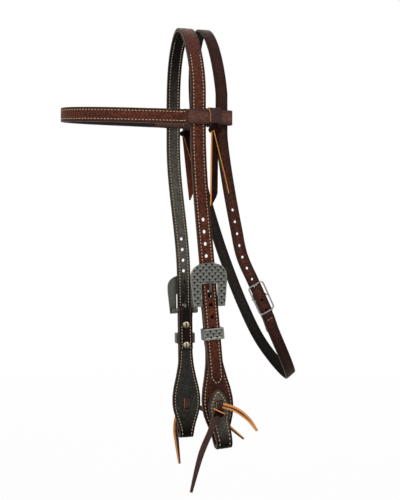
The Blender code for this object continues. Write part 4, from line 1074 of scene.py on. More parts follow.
def crown_cutters(path):
    """Round punches and the tongue's long hole, on both legs."""
    cutters = []
    for side in SIDES:
        spot = cheek_place(side)
        for i in range(-HOLES_ABOVE, HOLES_BELOW + 1):
            if i == 0:
                continue
            length = BILLET_LENGTH - (i * HOLE_PITCH - TONGUE_HOLE_RISE - side.pull)
            here = at_lengths(path, [length if side.sign < 0 else path.length[-1] - length])
            ends = [here.point[0] + here.out[0] * reach for reach in CROWN_PUNCH]
            cutters.append(rod_shell(ends, (HOLE_RADIUS, HOLE_RADIUS)))
        # Only the part of the long hole that is open round the tongue
        top = -TONGUE_HOLE_RISE - TONGUE_HOLE_ABOVE - side.pull
        through = (CROWN_IN - OVERRUN, CROWN_OUT + OVERRUN)
        reach = (top, TONGUE_HOLE_BELOW - TONGUE_HOLE_RISE)
        cutters.append(box_shell(spot, (-HOLE_RADIUS, HOLE_RADIUS), through, reach))
    return cutters


class HEADSTALL_OT_crown(bpy.types.Operator):
    """Make the crown's outer ply, its lining and its stitches"""

    bl_idname = "headstall.crown"
    bl_label = "Crown"

    def execute(self, context):
        sizes = context.scene.headstall_sizes
        path, halves, poll = crown_path()
        seam = LINING_PLY + GLUE_LINE / 2
        outer = strap_shell(path, halves, seam + SEAM_ROOM, CROWN_PLY, OUTER_GROOVE, OUTER_BULGE)
        lining = strap_shell(
            path, halves, 0.0, seam - SEAM_ROOM, LINING_GROOVE, corner=LINING_CORNER)
        strap = make_object("crown_outer", [outer])
        carve(strap, crown_cutters(path))
        dress(strap, look("crown"), "headstall", "leather", "crown_strap")
        under = make_object("crown_under", [lining])
        carve(under, crown_cutters(path))
        dress(under, look("lining"), "headstall", "lining", "crown_lining")
        bare = (poll - BARE_NEAR, poll + BARE_OFF)
        shells = sew(path, halves, (THREAD_LIFT, CROWN_PLY + THREAD_LIFT), sizes, bare)
        dress(make_object("crown_stitches", shells), look("thread"), "headstall", "leather")
        return {"FINISHED"}


# Browband

def tab_plan():
    """A tab's middle line seen from above: in along the leg, round a half circle, and out again."""
    radius = (TAB_MID_OUT - TAB_MID_IN) / 2
    centre = TAB_REAR - LINING_PLY / 2 - radius
    turn = np.linspace(-math.pi / 2, math.pi / 2, 25)
    inner = np.linspace(-BROW_STRAIGHT, centre, 20)[:-1]
    inner = np.stack([inner, np.full(19, TAB_MID_IN)], axis=1)
    middle = (TAB_MID_OUT + TAB_MID_IN) / 2
    bend = np.stack([centre + radius * np.cos(turn), middle + radius * np.sin(turn)], axis=1)
    outer = np.stack([np.linspace(centre, -STRAP_HALF, 16)[1:], np.full(15, TAB_MID_OUT)], axis=1)
    share = np.linspace(0.0, 1.0, 25)[1:]
    front = TAB_MID_IN + LINING_PLY + FIT
    step = np.stack([
        -STRAP_HALF - 2 * FIT - TAB_STEP_LENGTH * share,
        TAB_MID_OUT + (front - TAB_MID_OUT) * smooth_step(share),
    ], axis=1)
    return np.vstack([inner, bend, outer, step])


def browband_path():
    """From the near tab's end round the forehead, a half ellipse, to the off tab's end."""
    plan = tab_plan()
    turn = np.linspace(-math.pi / 2, math.pi / 2, 121)
    spread = TAB_MID_IN + LINING_PLY + FIT
    reach = BROW_REACH - BROW_STRAIGHT
    band = np.stack([-BROW_STRAIGHT - reach * np.cos(turn), spread * np.sin(turn)], axis=1)
    route = np.vstack([plan * (1, -1), band, plan[::-1]])
    level = BROW_CANT * np.clip(route[:, 1] / TAB_MID_IN, -1.0, 1.0) - BROW_DROP
    path = frames_along(behind_poll(route[:, 0], route[:, 1], level), UP)
    stepped = path.length[len(plan) - 24 + np.argmax(plan[-24:, 0] <= -BROW_STITCHED_START)]
    return path, (stepped, path.length[-1] - stepped)


class HEADSTALL_OT_browband(bpy.types.Operator):
    """Make the browband's long inner ply with its tabs, its outer ply and its stitches"""

    bl_idname = "headstall.browband"
    bl_label = "Browband"

    def execute(self, context):
        sizes = context.scene.headstall_sizes
        path, (start, end) = browband_path()
        inner = strap_shell(
            path, BROW_HALF, -LINING_PLY / 2, LINING_PLY / 2, corner=LINING_CORNER)
        dress(make_object("browband_inner", [inner]), look("tab"), "browband", "lining",
              "browband_lining")
        lengths = path.length[(path.length >= start) & (path.length <= end)]
        part = at_lengths(path, lengths)
        part = part._replace(length=lengths - lengths[0])
        low = LINING_PLY / 2 + THREAD_LIFT
        high = LINING_PLY / 2 + FIT + OUTER_PLY
        outer = strap_shell(part, BROW_HALF, low, high, OUTER_GROOVE, OUTER_BULGE)
        dress(make_object("browband_outer", [outer]), look("harness"), "browband", "leather",
              "browband_strap")
        halves = np.full(len(lengths), BROW_HALF)
        shells = sew(part, halves, (high + THREAD_LIFT,), sizes)
        dress(make_object("browband_stitches", shells), look("thread"), "browband", "leather")
        return {"FINISHED"}


# Throatlatch

def throat_point(drop, reach, spread):
    """A point of the throatlatch by its shares of the whole drop, reach and spread."""
    rear = THROAT_SETBACK + THROAT_REACH * reach
    return behind_poll(rear, THROAT_SPREAD * spread, -THROAT_DROP * drop)


def throat_hints(points):
    """Which way the width runs: to the rear at the top, and tipped up towards the foot."""
    share = smooth_step((-points[:, 2] - STRAIGHT_DROP) / (THROAT_BUCKLE_DROP - STRAIGHT_DROP))
    low = smooth_step((-points[:, 2] - THROAT_BUCKLE_DROP) / (THROAT_DROP - THROAT_BUCKLE_DROP))
    lean = THROAT_LEAN * share + (THROAT_FOOT_LEAN - THROAT_LEAN) * low
    return np.stack([np.cos(lean), np.zeros(len(lean)), np.sin(lean)], axis=1)


def throat_path():
    """From the billet's tip up the near side, over the poll, down the off side and up to the bar.

    The turned-back end then lies along the inside of the last stretch.
    """
    spot = throat_place()
    leaf = THROAT_BAR_RADIUS + FIT
    billet = leaf + THROAT_PLY + FIT
    turn = np.linspace(-math.pi / 2, math.pi / 2, 121)
    arch = behind_poll(
        THROAT_LEG_SETBACK + (THROAT_SETBACK - THROAT_LEG_SETBACK) * np.cos(turn),
        np.copysign(THROAT_SPREAD * np.abs(np.sin(turn)) ** ARCH_POINT, turn),
        (ARCH_DROP + THROAT_LIFT) * np.cos(turn) - ARCH_DROP,
    )
    feet = [behind_poll(THROAT_LEG_SETBACK, way * THROAT_SPREAD, -STRAIGHT_DROP) for way in (-1, 1)]
    line_top = place(spot, 0.0, billet, -THROAT_STRAIGHT)
    line_foot = place(spot, 0.0, leaf, THROAT_FOOT_LINE)
    near = [line_top] + [throat_point(d, r, -s) for d, r, s in reversed(NEAR_THROAT_SHARES)]
    off = [throat_point(*row) for row in OFF_THROAT_SHARES + FOOT_THROAT_SHARES]
    lead = place(spot, 0.0, billet, np.linspace(THROAT_BILLET, -THROAT_STRAIGHT, 30)[:-1])
    up = bezier_through(near + [feet[0]], -spot.down, UP, 14)
    down = bezier_through([feet[1]] + off + [line_foot], -UP, -spot.down, 12)
    rise = place(spot, 0.0, leaf, np.linspace(THROAT_FOOT_LINE, 0.0, 16)[1:-1])
    fold = np.linspace(0.0, math.pi, 17)
    loop = place(spot, 0.0, leaf * np.cos(fold), -leaf * np.sin(fold))
    back = np.linspace(0.0, THROAT_FOOT_LINE, 24)[1:]
    pinch = -leaf + (2 * leaf - FIT) * smooth_step((back - leaf) / (THROAT_STRAIGHT / 3 - leaf))
    tail = place(spot, 0.0, pinch, back)
    fall = frames_along(down, throat_hints(down))
    beside = (fall.point - fall.out * FIT)[-13:-1][::-1]
    points = np.vstack([lead, up, arch, down, rise, loop, tail, beside])
    return frames_along(points, throat_hints(points))


def throat_cutters(path):
    """Punched holes on the billet, the tongue's long hole and the slot in the fold at the bar."""
    spot = throat_place()
    leaf = THROAT_BAR_RADIUS + FIT
    billet = leaf + THROAT_PLY + FIT
    cutters = []
    for i in range(-THROAT_HOLES_BELOW, THROAT_HOLES_ABOVE + 1):
        if i == 0:
            continue
        here = at_lengths(path, [THROAT_BILLET + THROAT_TONGUE_RISE + i * HOLE_PITCH])
        ends = [here.point[0] + here.out[0] * reach for reach in THROAT_PUNCH]
        cutters.append(rod_shell(ends, (THROAT_HOLE_RADIUS, THROAT_HOLE_RADIUS), 16))
    slot = (-THROAT_SLOT, THROAT_SLOT)
    cutters.append(box_shell(spot, slot, (-billet, billet), (-billet, leaf + THROAT_SLOT_RISE)))
    top = THROAT_WIRE - THROAT_FRAME_LENGTH / 2
    reach = (leaf + THROAT_PLY / 2, billet + THROAT_PLY + OVERRUN)
    cutters.append(box_shell(spot, slot, reach, (top, top + THROAT_HOLE_LENGTH)))
    return cutters


class HEADSTALL_OT_throatlatch(bpy.types.Operator):
    """Make the throatlatch strap, and the tack that holds its turned-back end"""

    bl_idname = "headstall.throatlatch"
    bl_label = "Throatlatch"

    def execute(self, context):
        path = throat_path()
        # The billet's tip closes as (1 - u^1.6)^0.7, u rising to 1 at the tip
        share = np.clip(1 - path.length / THROAT_POINT, 0.0, 1.0)
        halves = THROAT_HALF * (1 - share ** 1.6) ** 0.7
        shell = strap_shell(path, halves, 0.0, THROAT_PLY, bulge=THROAT_BULGE)
        strap = make_object("throatlatch", [shell])
        carve(strap, throat_cutters(path))
        dress(strap, look("plain"), "throatlatch", "throat", "throatlatch_strap")
        spot = throat_place()
        tack = place(
            spot, np.array((-THROAT_TACK_HALF, THROAT_TACK_HALF)),
            THROAT_BAR_RADIUS + FIT + THROAT_PLY + THROAT_BULGE, THROAT_BILLET + THROAT_TACK_DROP)
        ways = [np.broadcast_to(way, tack.shape) for way in (spot.across, spot.out)]
        shell = stitch_shell(tack, *ways, THROAT_TACK_LENGTH, THROAT_TACK_THREAD)
        stitches = make_object("throatlatch_tack", [shell])
        dress(stitches, look("thread"), "throatlatch", "throat")
        return {"FINISHED"}


def rounded_ring(half_wide, half_high, corner, count):
    """A rounded rectangle as (across, along): quarter circles joined by straights, by length."""
    turn = np.linspace(0.0, math.pi / 2, 12)
    arc = np.stack([np.cos(turn), np.sin(turn)], axis=1) * corner
    middle = np.array((half_wide - corner, half_high - corner))
    quarters = []
    for i, way in enumerate(((1, 1), (-1, 1), (-1, -1), (1, -1))):
        part = arc if i % 2 == 0 else arc[::-1]
        quarters.append((part + middle) * way)
    line = np.vstack(quarters + [quarters[0][:1]])
    walked = np.concatenate([[0.0], np.cumsum(np.hypot(*np.diff(line, axis=0).T))])
    spots = np.linspace(0.0, walked[-1], count, endpoint=False)
    return np.stack([np.interp(spots, walked, line[:, i]) for i in (0, 1)], axis=1)


class HEADSTALL_OT_throat_buckle(bpy.types.Operator):
    """Make the throatlatch buckle: a bent wire frame with its bar, and its tongue"""

    bl_idname = "headstall.throat_buckle"
    bl_label = "Throatlatch buckle"

    def execute(self, context):
        spot = throat_place()
        leaf = THROAT_BAR_RADIUS + FIT
        front = leaf + 2 * (THROAT_PLY + FIT)
        half = THROAT_FRAME_HALF - THROAT_WIRE_DRAWN
        long = THROAT_FRAME_LENGTH / 2 - THROAT_WIRE_DRAWN
        ring = rounded_ring(half, long, THROAT_FRAME_CORNER, 120)
        rise = front + THROAT_WIRE
        wire = place(spot, ring[:, 0], rise, ring[:, 1])
        shells = [wire_shell(wire, THROAT_WIRE_DRAWN, 14, True)]
        ends = [place(spot, x, 0.0, 0.0) for x in (MM - half, half - MM)]
        shells.append(rod_shell(ends, (THROAT_BAR_RADIUS * 0.9,) * 2, 16))
        # A lug from each long side down to the bar
        shells += [rod_shell((end, end + spot.out * rise), (THROAT_LUG,) * 2, 12) for end in ends]
        dress(make_object("throat_buckle", shells), look("chrome"), "throatlatch", "chrome",
              "throat_buckle_frame")
        over = front + 2 * THROAT_WIRE + 0.8 * MM
        root = leaf + 0.55 * MM
        knots = [
            (root / 2, -root), (leaf + THROAT_PLY / 2, -9.0 * MM), (front - MM, -13.4 * MM),
            (over, -long + 0.6 * MM), (over - 0.3 * MM, -long - THROAT_WIRE),
        ]
        knots = [place(spot, 0.0, out, down) for out, down in knots]
        points = bezier_through(knots, knots[1] - knots[0], knots[-1] - knots[-2], 8)
        tongue = strap_shell(
            frames_along(points, spot.across, -1.0), THROAT_TONGUE_HALF, -THROAT_TONGUE_HALF_PLY,
            THROAT_TONGUE_HALF_PLY, corner=0.5 * MM, inset=0.6 * MM)
        turn = np.linspace(0.0, 2 * math.pi, 24, endpoint=False)
        radius = leaf + 0.45 * MM
        ring = place(spot, 0.0, radius * np.cos(turn), radius * np.sin(turn))
        eye = wire_shell(ring, THROAT_EYE_WIRE, 8, True)
        dress(make_object("throat_tongue", [tongue, eye]), look("chrome"), "throat_tongue",
              "chrome", "throat_buckle_tongue")
        return {"FINISHED"}


# Cheek straps

def softened(length, values, radius):
    """Values along a path, averaged with a raised cosine of the given radius."""
    fine = np.arange(length[0] - 2 * radius, length[-1] + 2 * radius, 0.4 * MM)
    weights = np.hanning(int(2 * radius / (0.4 * MM)) | 1)
    even = np.convolve(np.interp(fine, length, values), weights / weights.sum(), "same")
    return np.interp(length, fine, even)


def cheek_route(side, top):
    """The body of a cheek strap, its bit loop and its flap, as stations with half widths."""
    spot = cheek_place(side)
    middle = CHEEK_IN + OUTER_PLY / 2
    radius = BIT_LOOP_RADIUS
    seat = BIT_END - LINING_PLY - FIT - OUTER_PLY / 2
    rear = middle + OUTER_PLY + BIT_LOOP_GAP
    body_rows, loop_rows = 70, 24
    down = np.linspace(top, seat - radius, body_rows)
    turn = np.linspace(0.0, math.pi / 2, 13)[1:]
    back = turn[::-1]
    up = np.linspace(seat - radius, FLAP_CLOSE, 24)[1:]
    near_tip = FLAP_TIP + 8 * MM
    flap = np.concatenate([
        np.linspace(FLAP_CLOSE, near_tip, 12)[1:], np.linspace(near_tip, FLAP_TIP, 18)[1:]])
    opened = smooth_step((up - FLAP_CLOSE) / (seat - radius - FLAP_CLOSE))
    out = np.concatenate([
        np.full(body_rows, middle), middle + radius * (1 - np.cos(turn)),
        rear - radius * (1 - np.cos(back)), [rear], FLAP_MID + (rear - FLAP_MID) * opened,
        np.full(len(flap), FLAP_MID),
    ])
    downs = np.concatenate([
        down, seat - radius * (1 - np.sin(turn)), seat - radius * (1 - np.sin(back)),
        [seat - radius], up, flap,
    ])
    path = frames_along(place(spot, 0.0, out, downs), spot.across, side.sign)
    body = STRAP_HALF + (PADDLE_HALF - STRAP_HALF) * table_at(
        PADDLE_SHARES, (downs - LOWER_SCREW) / (BIT_END - LOWER_SCREW))
    share = (downs - FLAP_TIP) / (BIT_END - FLAP_TIP)
    # The flap's tip is a power of the distance from it up to where it is widest
    leaf = FLAP_HALF * np.where(
        share < 0.28, (np.maximum(share, 0.0) / 0.28) ** 0.53, table_at(FLAP_SHARES, share))
    back_up = np.arange(len(downs)) >= body_rows + loop_rows
    halves = softened(path.length, np.where(back_up, leaf, body), 5 * MM)
    tip = path.length[-1] - path.length < 12 * MM
    return path, np.where(tip, leaf, halves)


def cheek_route_full(side):
    """The whole outer ply: the turned-back end up the inside, over the bar, and on as above."""
    spot = cheek_place(side)
    fold = CHEEK_IN + OUTER_PLY / 2
    path, halves = cheek_route(side, 0.0)
    turn = np.linspace(0.0, math.pi, 25)[:-1]
    down = np.linspace(CHAPE_END, 0.0, 40)[:-1]
    ease = smooth_step((UPPER_SCREW - 4.5 * MM - down) / (UPPER_SCREW - 4.5 * MM))
    chape = place(spot, 0.0, CHAPE_MID + (-fold - CHAPE_MID) * ease, down)
    over = place(spot, 0.0, -fold * np.cos(turn), -fold * np.sin(turn))
    points = np.vstack([chape, over, path.point])
    whole = frames_along(points, spot.across, side.sign)
    count = len(chape) + len(over)
    return whole, np.concatenate([np.full(count, STRAP_HALF), halves]), count


def cheek_cutters(side):
    """The screw holes, the tongue's slot at the bar and the tie's two slots."""
    spot = cheek_place(side)
    cutters = []
    for down in (UPPER_SCREW, LOWER_SCREW):
        for low, radius in ((-8 * MM, SCREW_HOLE), (CHEEK_OUT - CAP_DEPTH, CAP_HOLE)):
            ends = [place(spot, 0.0, out, down) for out in (low, CHEEK_OUT + OVERRUN)]
            cutters.append(rod_shell(ends, (radius, radius)))
    slot = TONGUE_HALF + SLOT_ROOM
    cutters.append(box_shell(spot, (-slot, slot), (-5 * MM, 5 * MM), BAR_SLOT))
    return cutters + tie_cutters(side)


def tie_cutters(side):
    """The two slots that the thong runs through."""
    spot = cheek_place(side)
    half = THONG_WIDTH / 2 + SLOT_ROOM
    deep = THONG_PLY / 2 + SLOT_ROOM
    return [
        box_shell(spot, (-half, half), (-OVERRUN, FLAP_OUT + OVERRUN), (down - deep, down + deep))
        for down in (UPPER_TIE_HOLE, LOWER_TIE_HOLE)
    ]


class HEADSTALL_OT_cheeks(bpy.types.Operator):
    """Make both cheek straps, their linings and their stitches"""

    bl_idname = "headstall.cheeks"
    bl_label = "Cheek straps"

    def execute(self, context):
        for side in SIDES:
            self.make(side, context.scene.headstall_sizes)
        return {"FINISHED"}

    def make(self, side, sizes):
        path, halves, count = cheek_route_full(side)
        half_ply = OUTER_PLY / 2
        strap = make_object(f"{side.name}_cheek_outer", [
            strap_shell(path, halves, -half_ply, half_ply, CHEEK_GROOVE, CHEEK_BULGE)])
        carve(strap, cheek_cutters(side))
        dress(strap, look("cheek"), "headstall", "leather", f"{side.name}_cheek_strap")
        part, wide = cheek_route(side, LINING_START)
        low, high = -half_ply - FIT - LINING_PLY, -half_ply - 0.06 * MM
        under = make_object(f"{side.name}_cheek_under", [
            strap_shell(part, wide, low, high, LINING_GROOVE, corner=LINING_CORNER)])
        carve(under, tie_cutters(side))
        dress(under, look(f"{side.name}_cheek_lining"), "headstall", "lining",
              f"{side.name}_cheek_lining")
        shells = sew(part, wide, (low - THREAD_LIFT,), sizes)
        # The whole outer face below the lower screw, and the turned-back end below the upper one
        body = (path.length[count] + STITCH_START, path.length[-1])
        for span in (body, (2 * MM, CHAPE_END - UPPER_SCREW - 2 * MM)):
            shells += sew(path, halves, (half_ply + THREAD_LIFT,), sizes, span=span)
        dress(make_object(f"{side.name}_cheek_stitches", shells), look("thread"), "headstall",
              "leather")


# Cart buckles

def basket_weave(across, along, width, height):
    """How high a struck weave stands, from 0 to 1: rows of bars in running bond.

    A bar falls off as the cube of twice its rise from its middle line. Where two bars of a row
    meet there is a three-cornered pit, 0.3 of a bar wide to each side at one edge of the row and
    closed at the other.
    """
    row = np.floor(along / height)
    run = (across / width + row / 2) % 1.0 - 0.5
    rise = along / height - row
    bar = 1 - 0.4 * np.abs(2 * rise - 1) ** 3
    gap = 0.5 - np.abs(run)
    pit = np.clip((0.3 * (1 - rise) - gap) / 0.1, 0.0, 1.0)
    return bar * (1 - 0.8 * pit)


def turned(spot, angle, down):
    """A place turned about its out direction, its foot swung forward; the point at down stays."""
    across = spot.across * math.cos(angle) + spot.down * math.sin(angle) * np.sign(spot.across[0])
    low = spot.down * math.cos(angle) - spot.across * math.sin(angle) * np.sign(spot.across[0])
    return Place(spot.origin + (spot.down - low) * down, across, spot.out, low)


def plate_outline(count):
    """The plate's outline as (across, down): the arch over the top, then the sides to the foot."""
    turn = np.linspace(BUCKLE_END_TURN, math.pi - BUCKLE_END_TURN, count)
    across = -BUCKLE_HALF * np.cos(turn)
    rise = (BUCKLE_TOP - BUCKLE_SHOULDER) * np.sin(turn) ** BUCKLE_SQUARENESS
    past = np.maximum(np.abs(across) - BUCKLE_FOOT_HALF, 0.0) / (BUCKLE_HALF - BUCKLE_FOOT_HALF)
    return across, -BUCKLE_SHOULDER - rise, BUCKLE_FOOT - (BUCKLE_FOOT + BUCKLE_SHOULDER) * past


def distance_to(points, line):
    """Each point's distance to a closed line, by the nearest spot on each of its pieces."""
    start, end = line, np.roll(line, -1, axis=0)
    way = end - start
    size = np.maximum(np.sum(way ** 2, axis=1), 1e-18)
    gap = points[:, None] - start[None]
    share = np.clip(np.sum(gap * way[None], axis=2) / size, 0.0, 1.0)
    return np.min(np.linalg.norm(gap - share[..., None] * way[None], axis=2), axis=1)


def rounded_drop(distance, radius):
    """How far a rounded rim lies below its face, by the distance in: a quarter circle."""
    return radius - np.sqrt(radius ** 2 - (radius - np.minimum(distance, radius)) ** 2)


def buckle_shell(spot, sizes):
    """The domed plate: its front is the dome, less the rounded rim, less the struck weave."""
    across, top, foot = plate_outline(PLATE_GRID)
    share = np.linspace(0.0, 1.0, PLATE_GRID)
    x = np.broadcast_to(across[:, None], (PLATE_GRID, PLATE_GRID))
    z = top[:, None] + (foot - top)[:, None] * share
    outline = np.vstack([np.stack([across, top], 1), np.stack([across, foot], 1)[::-1]])
    flat = np.stack([x.ravel(), z.ravel()], axis=1)
    rim = distance_to(flat, outline)
    wide = WINDOW_HALF - WINDOW_BEVEL
    below = BUCKLE_FOOT + 9 * MM
    window = np.array(((-wide, below), (-wide, -WINDOW_TOP), (wide, -WINDOW_TOP), (wide, below)))
    rim = np.minimum(rim, distance_to(flat, window)).reshape(x.shape)
    drop = rounded_drop(rim, PLATE_RIM)
    weave = basket_weave(x, z, sizes.stamp_width, sizes.stamp_height)
    struck = smooth_step((rim - 0.5 * MM) / (0.9 * MM))
    dome = BUCKLE_DOME * (x ** 2 - STRAP_HALF ** 2) / BUCKLE_HALF ** 2
    front = PLATE_OUT - dome - drop - sizes.stamp_depth * (1 - weave) * struck
    back = PLATE_IN - dome
    faces = [place(spot, x, out, z) for out in (front, back)]
    rings = np.concatenate([faces[0], faces[1][:, ::-1]], axis=1)
    high = STAMP_RUBBED * weave * struck + (1 - struck) * RIM_RUBBED
    rubbed = np.concatenate([high, np.full_like(weave, BACK_RUBBED)], axis=1)
    return plain_shell(rings, edge=np.stack([rubbed, np.zeros_like(rubbed)], axis=-1))


def post_shell(spot, sides):
    """A lug that holds the bar: a D in section, flat to the plate and round about the bar."""
    turn = np.linspace(0.0, math.pi, 13)
    out = np.concatenate([[PLATE_IN + 0.6 * MM], -POST_HALF * np.sin(turn), [PLATE_IN + 0.6 * MM]])
    down = np.concatenate([[-POST_HALF], -POST_HALF * np.cos(turn), [POST_HALF]])
    low, high = sides
    levels = (low, low + POST_CORNER, high - POST_CORNER, high)
    rings = []
    for level, step in zip(levels, (POST_CORNER, 0.0, 0.0, POST_CORNER)):
        shrink = (POST_HALF - step) / POST_HALF
        rings.append(place(spot, level, np.where(out < PLATE_IN, out * shrink, out), down * shrink))
    return plain_shell(np.array(rings), edge=np.full((4, len(out), 2), POST_RUBBED))


class HEADSTALL_OT_cart_buckles(bpy.types.Operator):
    """Make both cart buckles: the stamped plate with its lugs, the bar and the tongue"""

    bl_idname = "headstall.cart_buckles"
    bl_label = "Cart buckles"

    def execute(self, context):
        for side in SIDES:
            spot = cheek_place(side)
            self.make_plate(side, spot, context.scene.headstall_sizes)
            self.make_tongue(side, spot)
        return {"FINISHED"}

    def make_plate(self, side, spot, sizes):
        hung = turned(spot, PLATE_TURN, -0.5 * BUCKLE_TOP) if side.sign < 0 else spot
        plate = make_object(f"{side.name}_buckle", [buckle_shell(hung, sizes)])
        reach = 20 * MM
        window = rounded_ring(WINDOW_HALF - WINDOW_BEVEL, reach, WINDOW_CORNER, 64)
        rings = [place(hung, window[:, 0], out, window[:, 1] + reach - WINDOW_TOP)
                 for out in (CHEEK_OUT, PLATE_OUT + OVERRUN)]
        carve(plate, [plain_shell(np.array(rings))])
        ends = ((POST_INNER, POST_OUTER), (-POST_OUTER, -POST_INNER))
        carve(plate, [post_shell(spot, pair) for pair in ends], "UNION")
        dress(plate, look("silver"), "headstall", "silver", f"{side.name}_buckle_frame",
              sharp=50.0)
        reach = POST_OUTER + 0.3 * MM
        radii = np.array((0.7, 1.0, 1.0, 0.7)) * BAR_RADIUS
        ends = [place(spot, x, 0.0, 0.0) for x in (-reach, reach)]
        bar = rod_shell(ends, radii, 24)
        bar.edge[:] = BAR_RUBBED
        dress(make_object(f"{side.name}_bar", [bar]), look("silver"), "headstall", "silver",
              f"{side.name}_buckle_bar")

    def make_tongue(self, side, spot):
        root = BAR_RADIUS + FIT + 0.7 * MM
        over = PLATE_OUT + FIT + TONGUE_PLY / 2
        through = (CROWN_IN + CROWN_OUT) / 2
        knots = [
            (root / 2, -root), (CROWN_IN / 2, -TONGUE_HOLE_RISE * 0.66),
            (through, -TONGUE_HOLE_RISE - FIT), (over - TONGUE_PLY, -TONGUE_HOLE_RISE * 1.4),
            (over, -WINDOW_TOP + TONGUE_PLY), (over, -WINDOW_TOP - TONGUE_REST),
        ]
        knots = [place(spot, 0.0, out, down) for out, down in knots]
        points = bezier_through(knots, knots[1] - knots[0], knots[-1] - knots[-2], 8)
        path = frames_along(points, spot.across, side.sign)
        share = path.length / path.length[-1]
        # It narrows evenly by 0.3, and its last tenth is rounded off
        rounding = 1 - np.clip((share - 0.9) / 0.1, 0, 1) ** 2 * 0.5
        halves = TONGUE_HALF * (1 - 0.3 * share) * rounding
        arm = strap_shell(
            path, halves, -TONGUE_PLY / 2, TONGUE_PLY / 2, corner=0.6 * MM, inset=0.8 * MM)
        arm.edge[:] = TONGUE_RUBBED
        turn = np.linspace(0.0, 2 * math.pi, 32, endpoint=False)
        ring = frames_along(
            place(spot, 0.0, root * np.cos(turn), root * np.sin(turn)), spot.across, side.sign)
        section = rounded_ring(TONGUE_HALF, EYE_HALF_PLY, 0.4 * MM, 20)
        rings = (ring.point[:, None] + ring.across[:, None] * section[None, :, :1]
                 + ring.out[:, None] * section[None, :, 1:])
        eye = plain_shell(rings, closed=True, edge=np.full((32, 20, 2), EYE_RUBBED))
        dress(make_object(f"{side.name}_tongue", [arm, eye]), look("silver"), f"{side.name}_tongue",
              "silver", f"{side.name}_buckle_tongue")


class HEADSTALL_OT_keepers(bpy.types.Operator):
    """Make both keepers: a flat loop whose front is framed and stamped"""

    bl_idname = "headstall.keepers"
    bl_label = "Keepers"

    def execute(self, context):
        for side in SIDES:
            shell = self.shell(cheek_place(side), context.scene.headstall_sizes)
            dress(make_object(f"{side.name}_keeper_loop", [shell]), look("silver"),
                  f"{side.name}_keeper", "silver", f"{side.name}_keeper", sharp=50.0)
        return {"FINISHED"}

    def shell(self, spot, sizes):
        """A rounded rectangle carried down the keeper's height; its front carries the weave."""
        count, rows = 240, 41
        outer = rounded_ring(KEEPER_HALF, (KEEPER_FRONT - KEEPER_BACK) / 2, 1.0 * MM, count)
        inner = rounded_ring(
            KEEPER_INSIDE_HALF, (KEEPER_INSIDE_FRONT - KEEPER_INSIDE_BACK) / 2, 0.6 * MM, count)
        outer_middle = (KEEPER_FRONT + KEEPER_BACK) / 2
        inner_middle = (KEEPER_INSIDE_FRONT + KEEPER_INSIDE_BACK) / 2
        z = np.linspace(-0.5, 0.5, rows) * KEEPER_HEIGHT
        from_edge = KEEPER_HEIGHT / 2 - np.abs(z)[:, None]
        drop = rounded_drop(from_edge, KEEPER_EDGE)
        x = np.broadcast_to(outer[:, 0], (rows, count))
        out = outer[:, 1] + outer_middle
        on_front = smooth_step((out - KEEPER_FRONT + 0.25 * MM) / (0.2 * MM))
        from_rim = np.minimum(from_edge, KEEPER_HALF - np.abs(x))
        framed = smooth_step((from_rim - KEEPER_RIM) / (0.5 * MM))
        weave = basket_weave(
            x, np.broadcast_to(z[:, None], x.shape) + 0.6 * MM, sizes.stamp_width,
            sizes.stamp_height)
        cut = on_front * framed * (KEEPER_SUNK + sizes.stamp_depth * (1 - weave))
        away = np.stack([outer[:, 0] / KEEPER_HALF, outer[:, 1] / outer_middle], axis=1)
        outside = place(spot, x * (1 - drop / KEEPER_HALF),
                        np.broadcast_to(out - away[:, 1] * drop, x.shape) - cut,
                        np.broadcast_to(z[:, None] + KEEPER_DROP, x.shape))
        ends = np.array((0.5, -0.5)) * KEEPER_HEIGHT + KEEPER_DROP
        inside = place(spot, np.broadcast_to(inner[:, 0], (2, count)),
                       np.broadcast_to(inner[:, 1] + inner_middle, (2, count)),
                       np.broadcast_to(ends[:, None], (2, count)))
        rings = np.concatenate([outside, inside]).transpose(1, 0, 2)
        high = 0.5 + on_front * (0.4 - framed * (0.9 - 0.85 * weave))
        inside_edge = np.full((2, count, 2), KEEPER_INSIDE_RUBBED)
        edge = np.concatenate([np.stack([high, high], -1), inside_edge])
        return plain_shell(rings, closed=True, edge=edge.transpose(1, 0, 2))


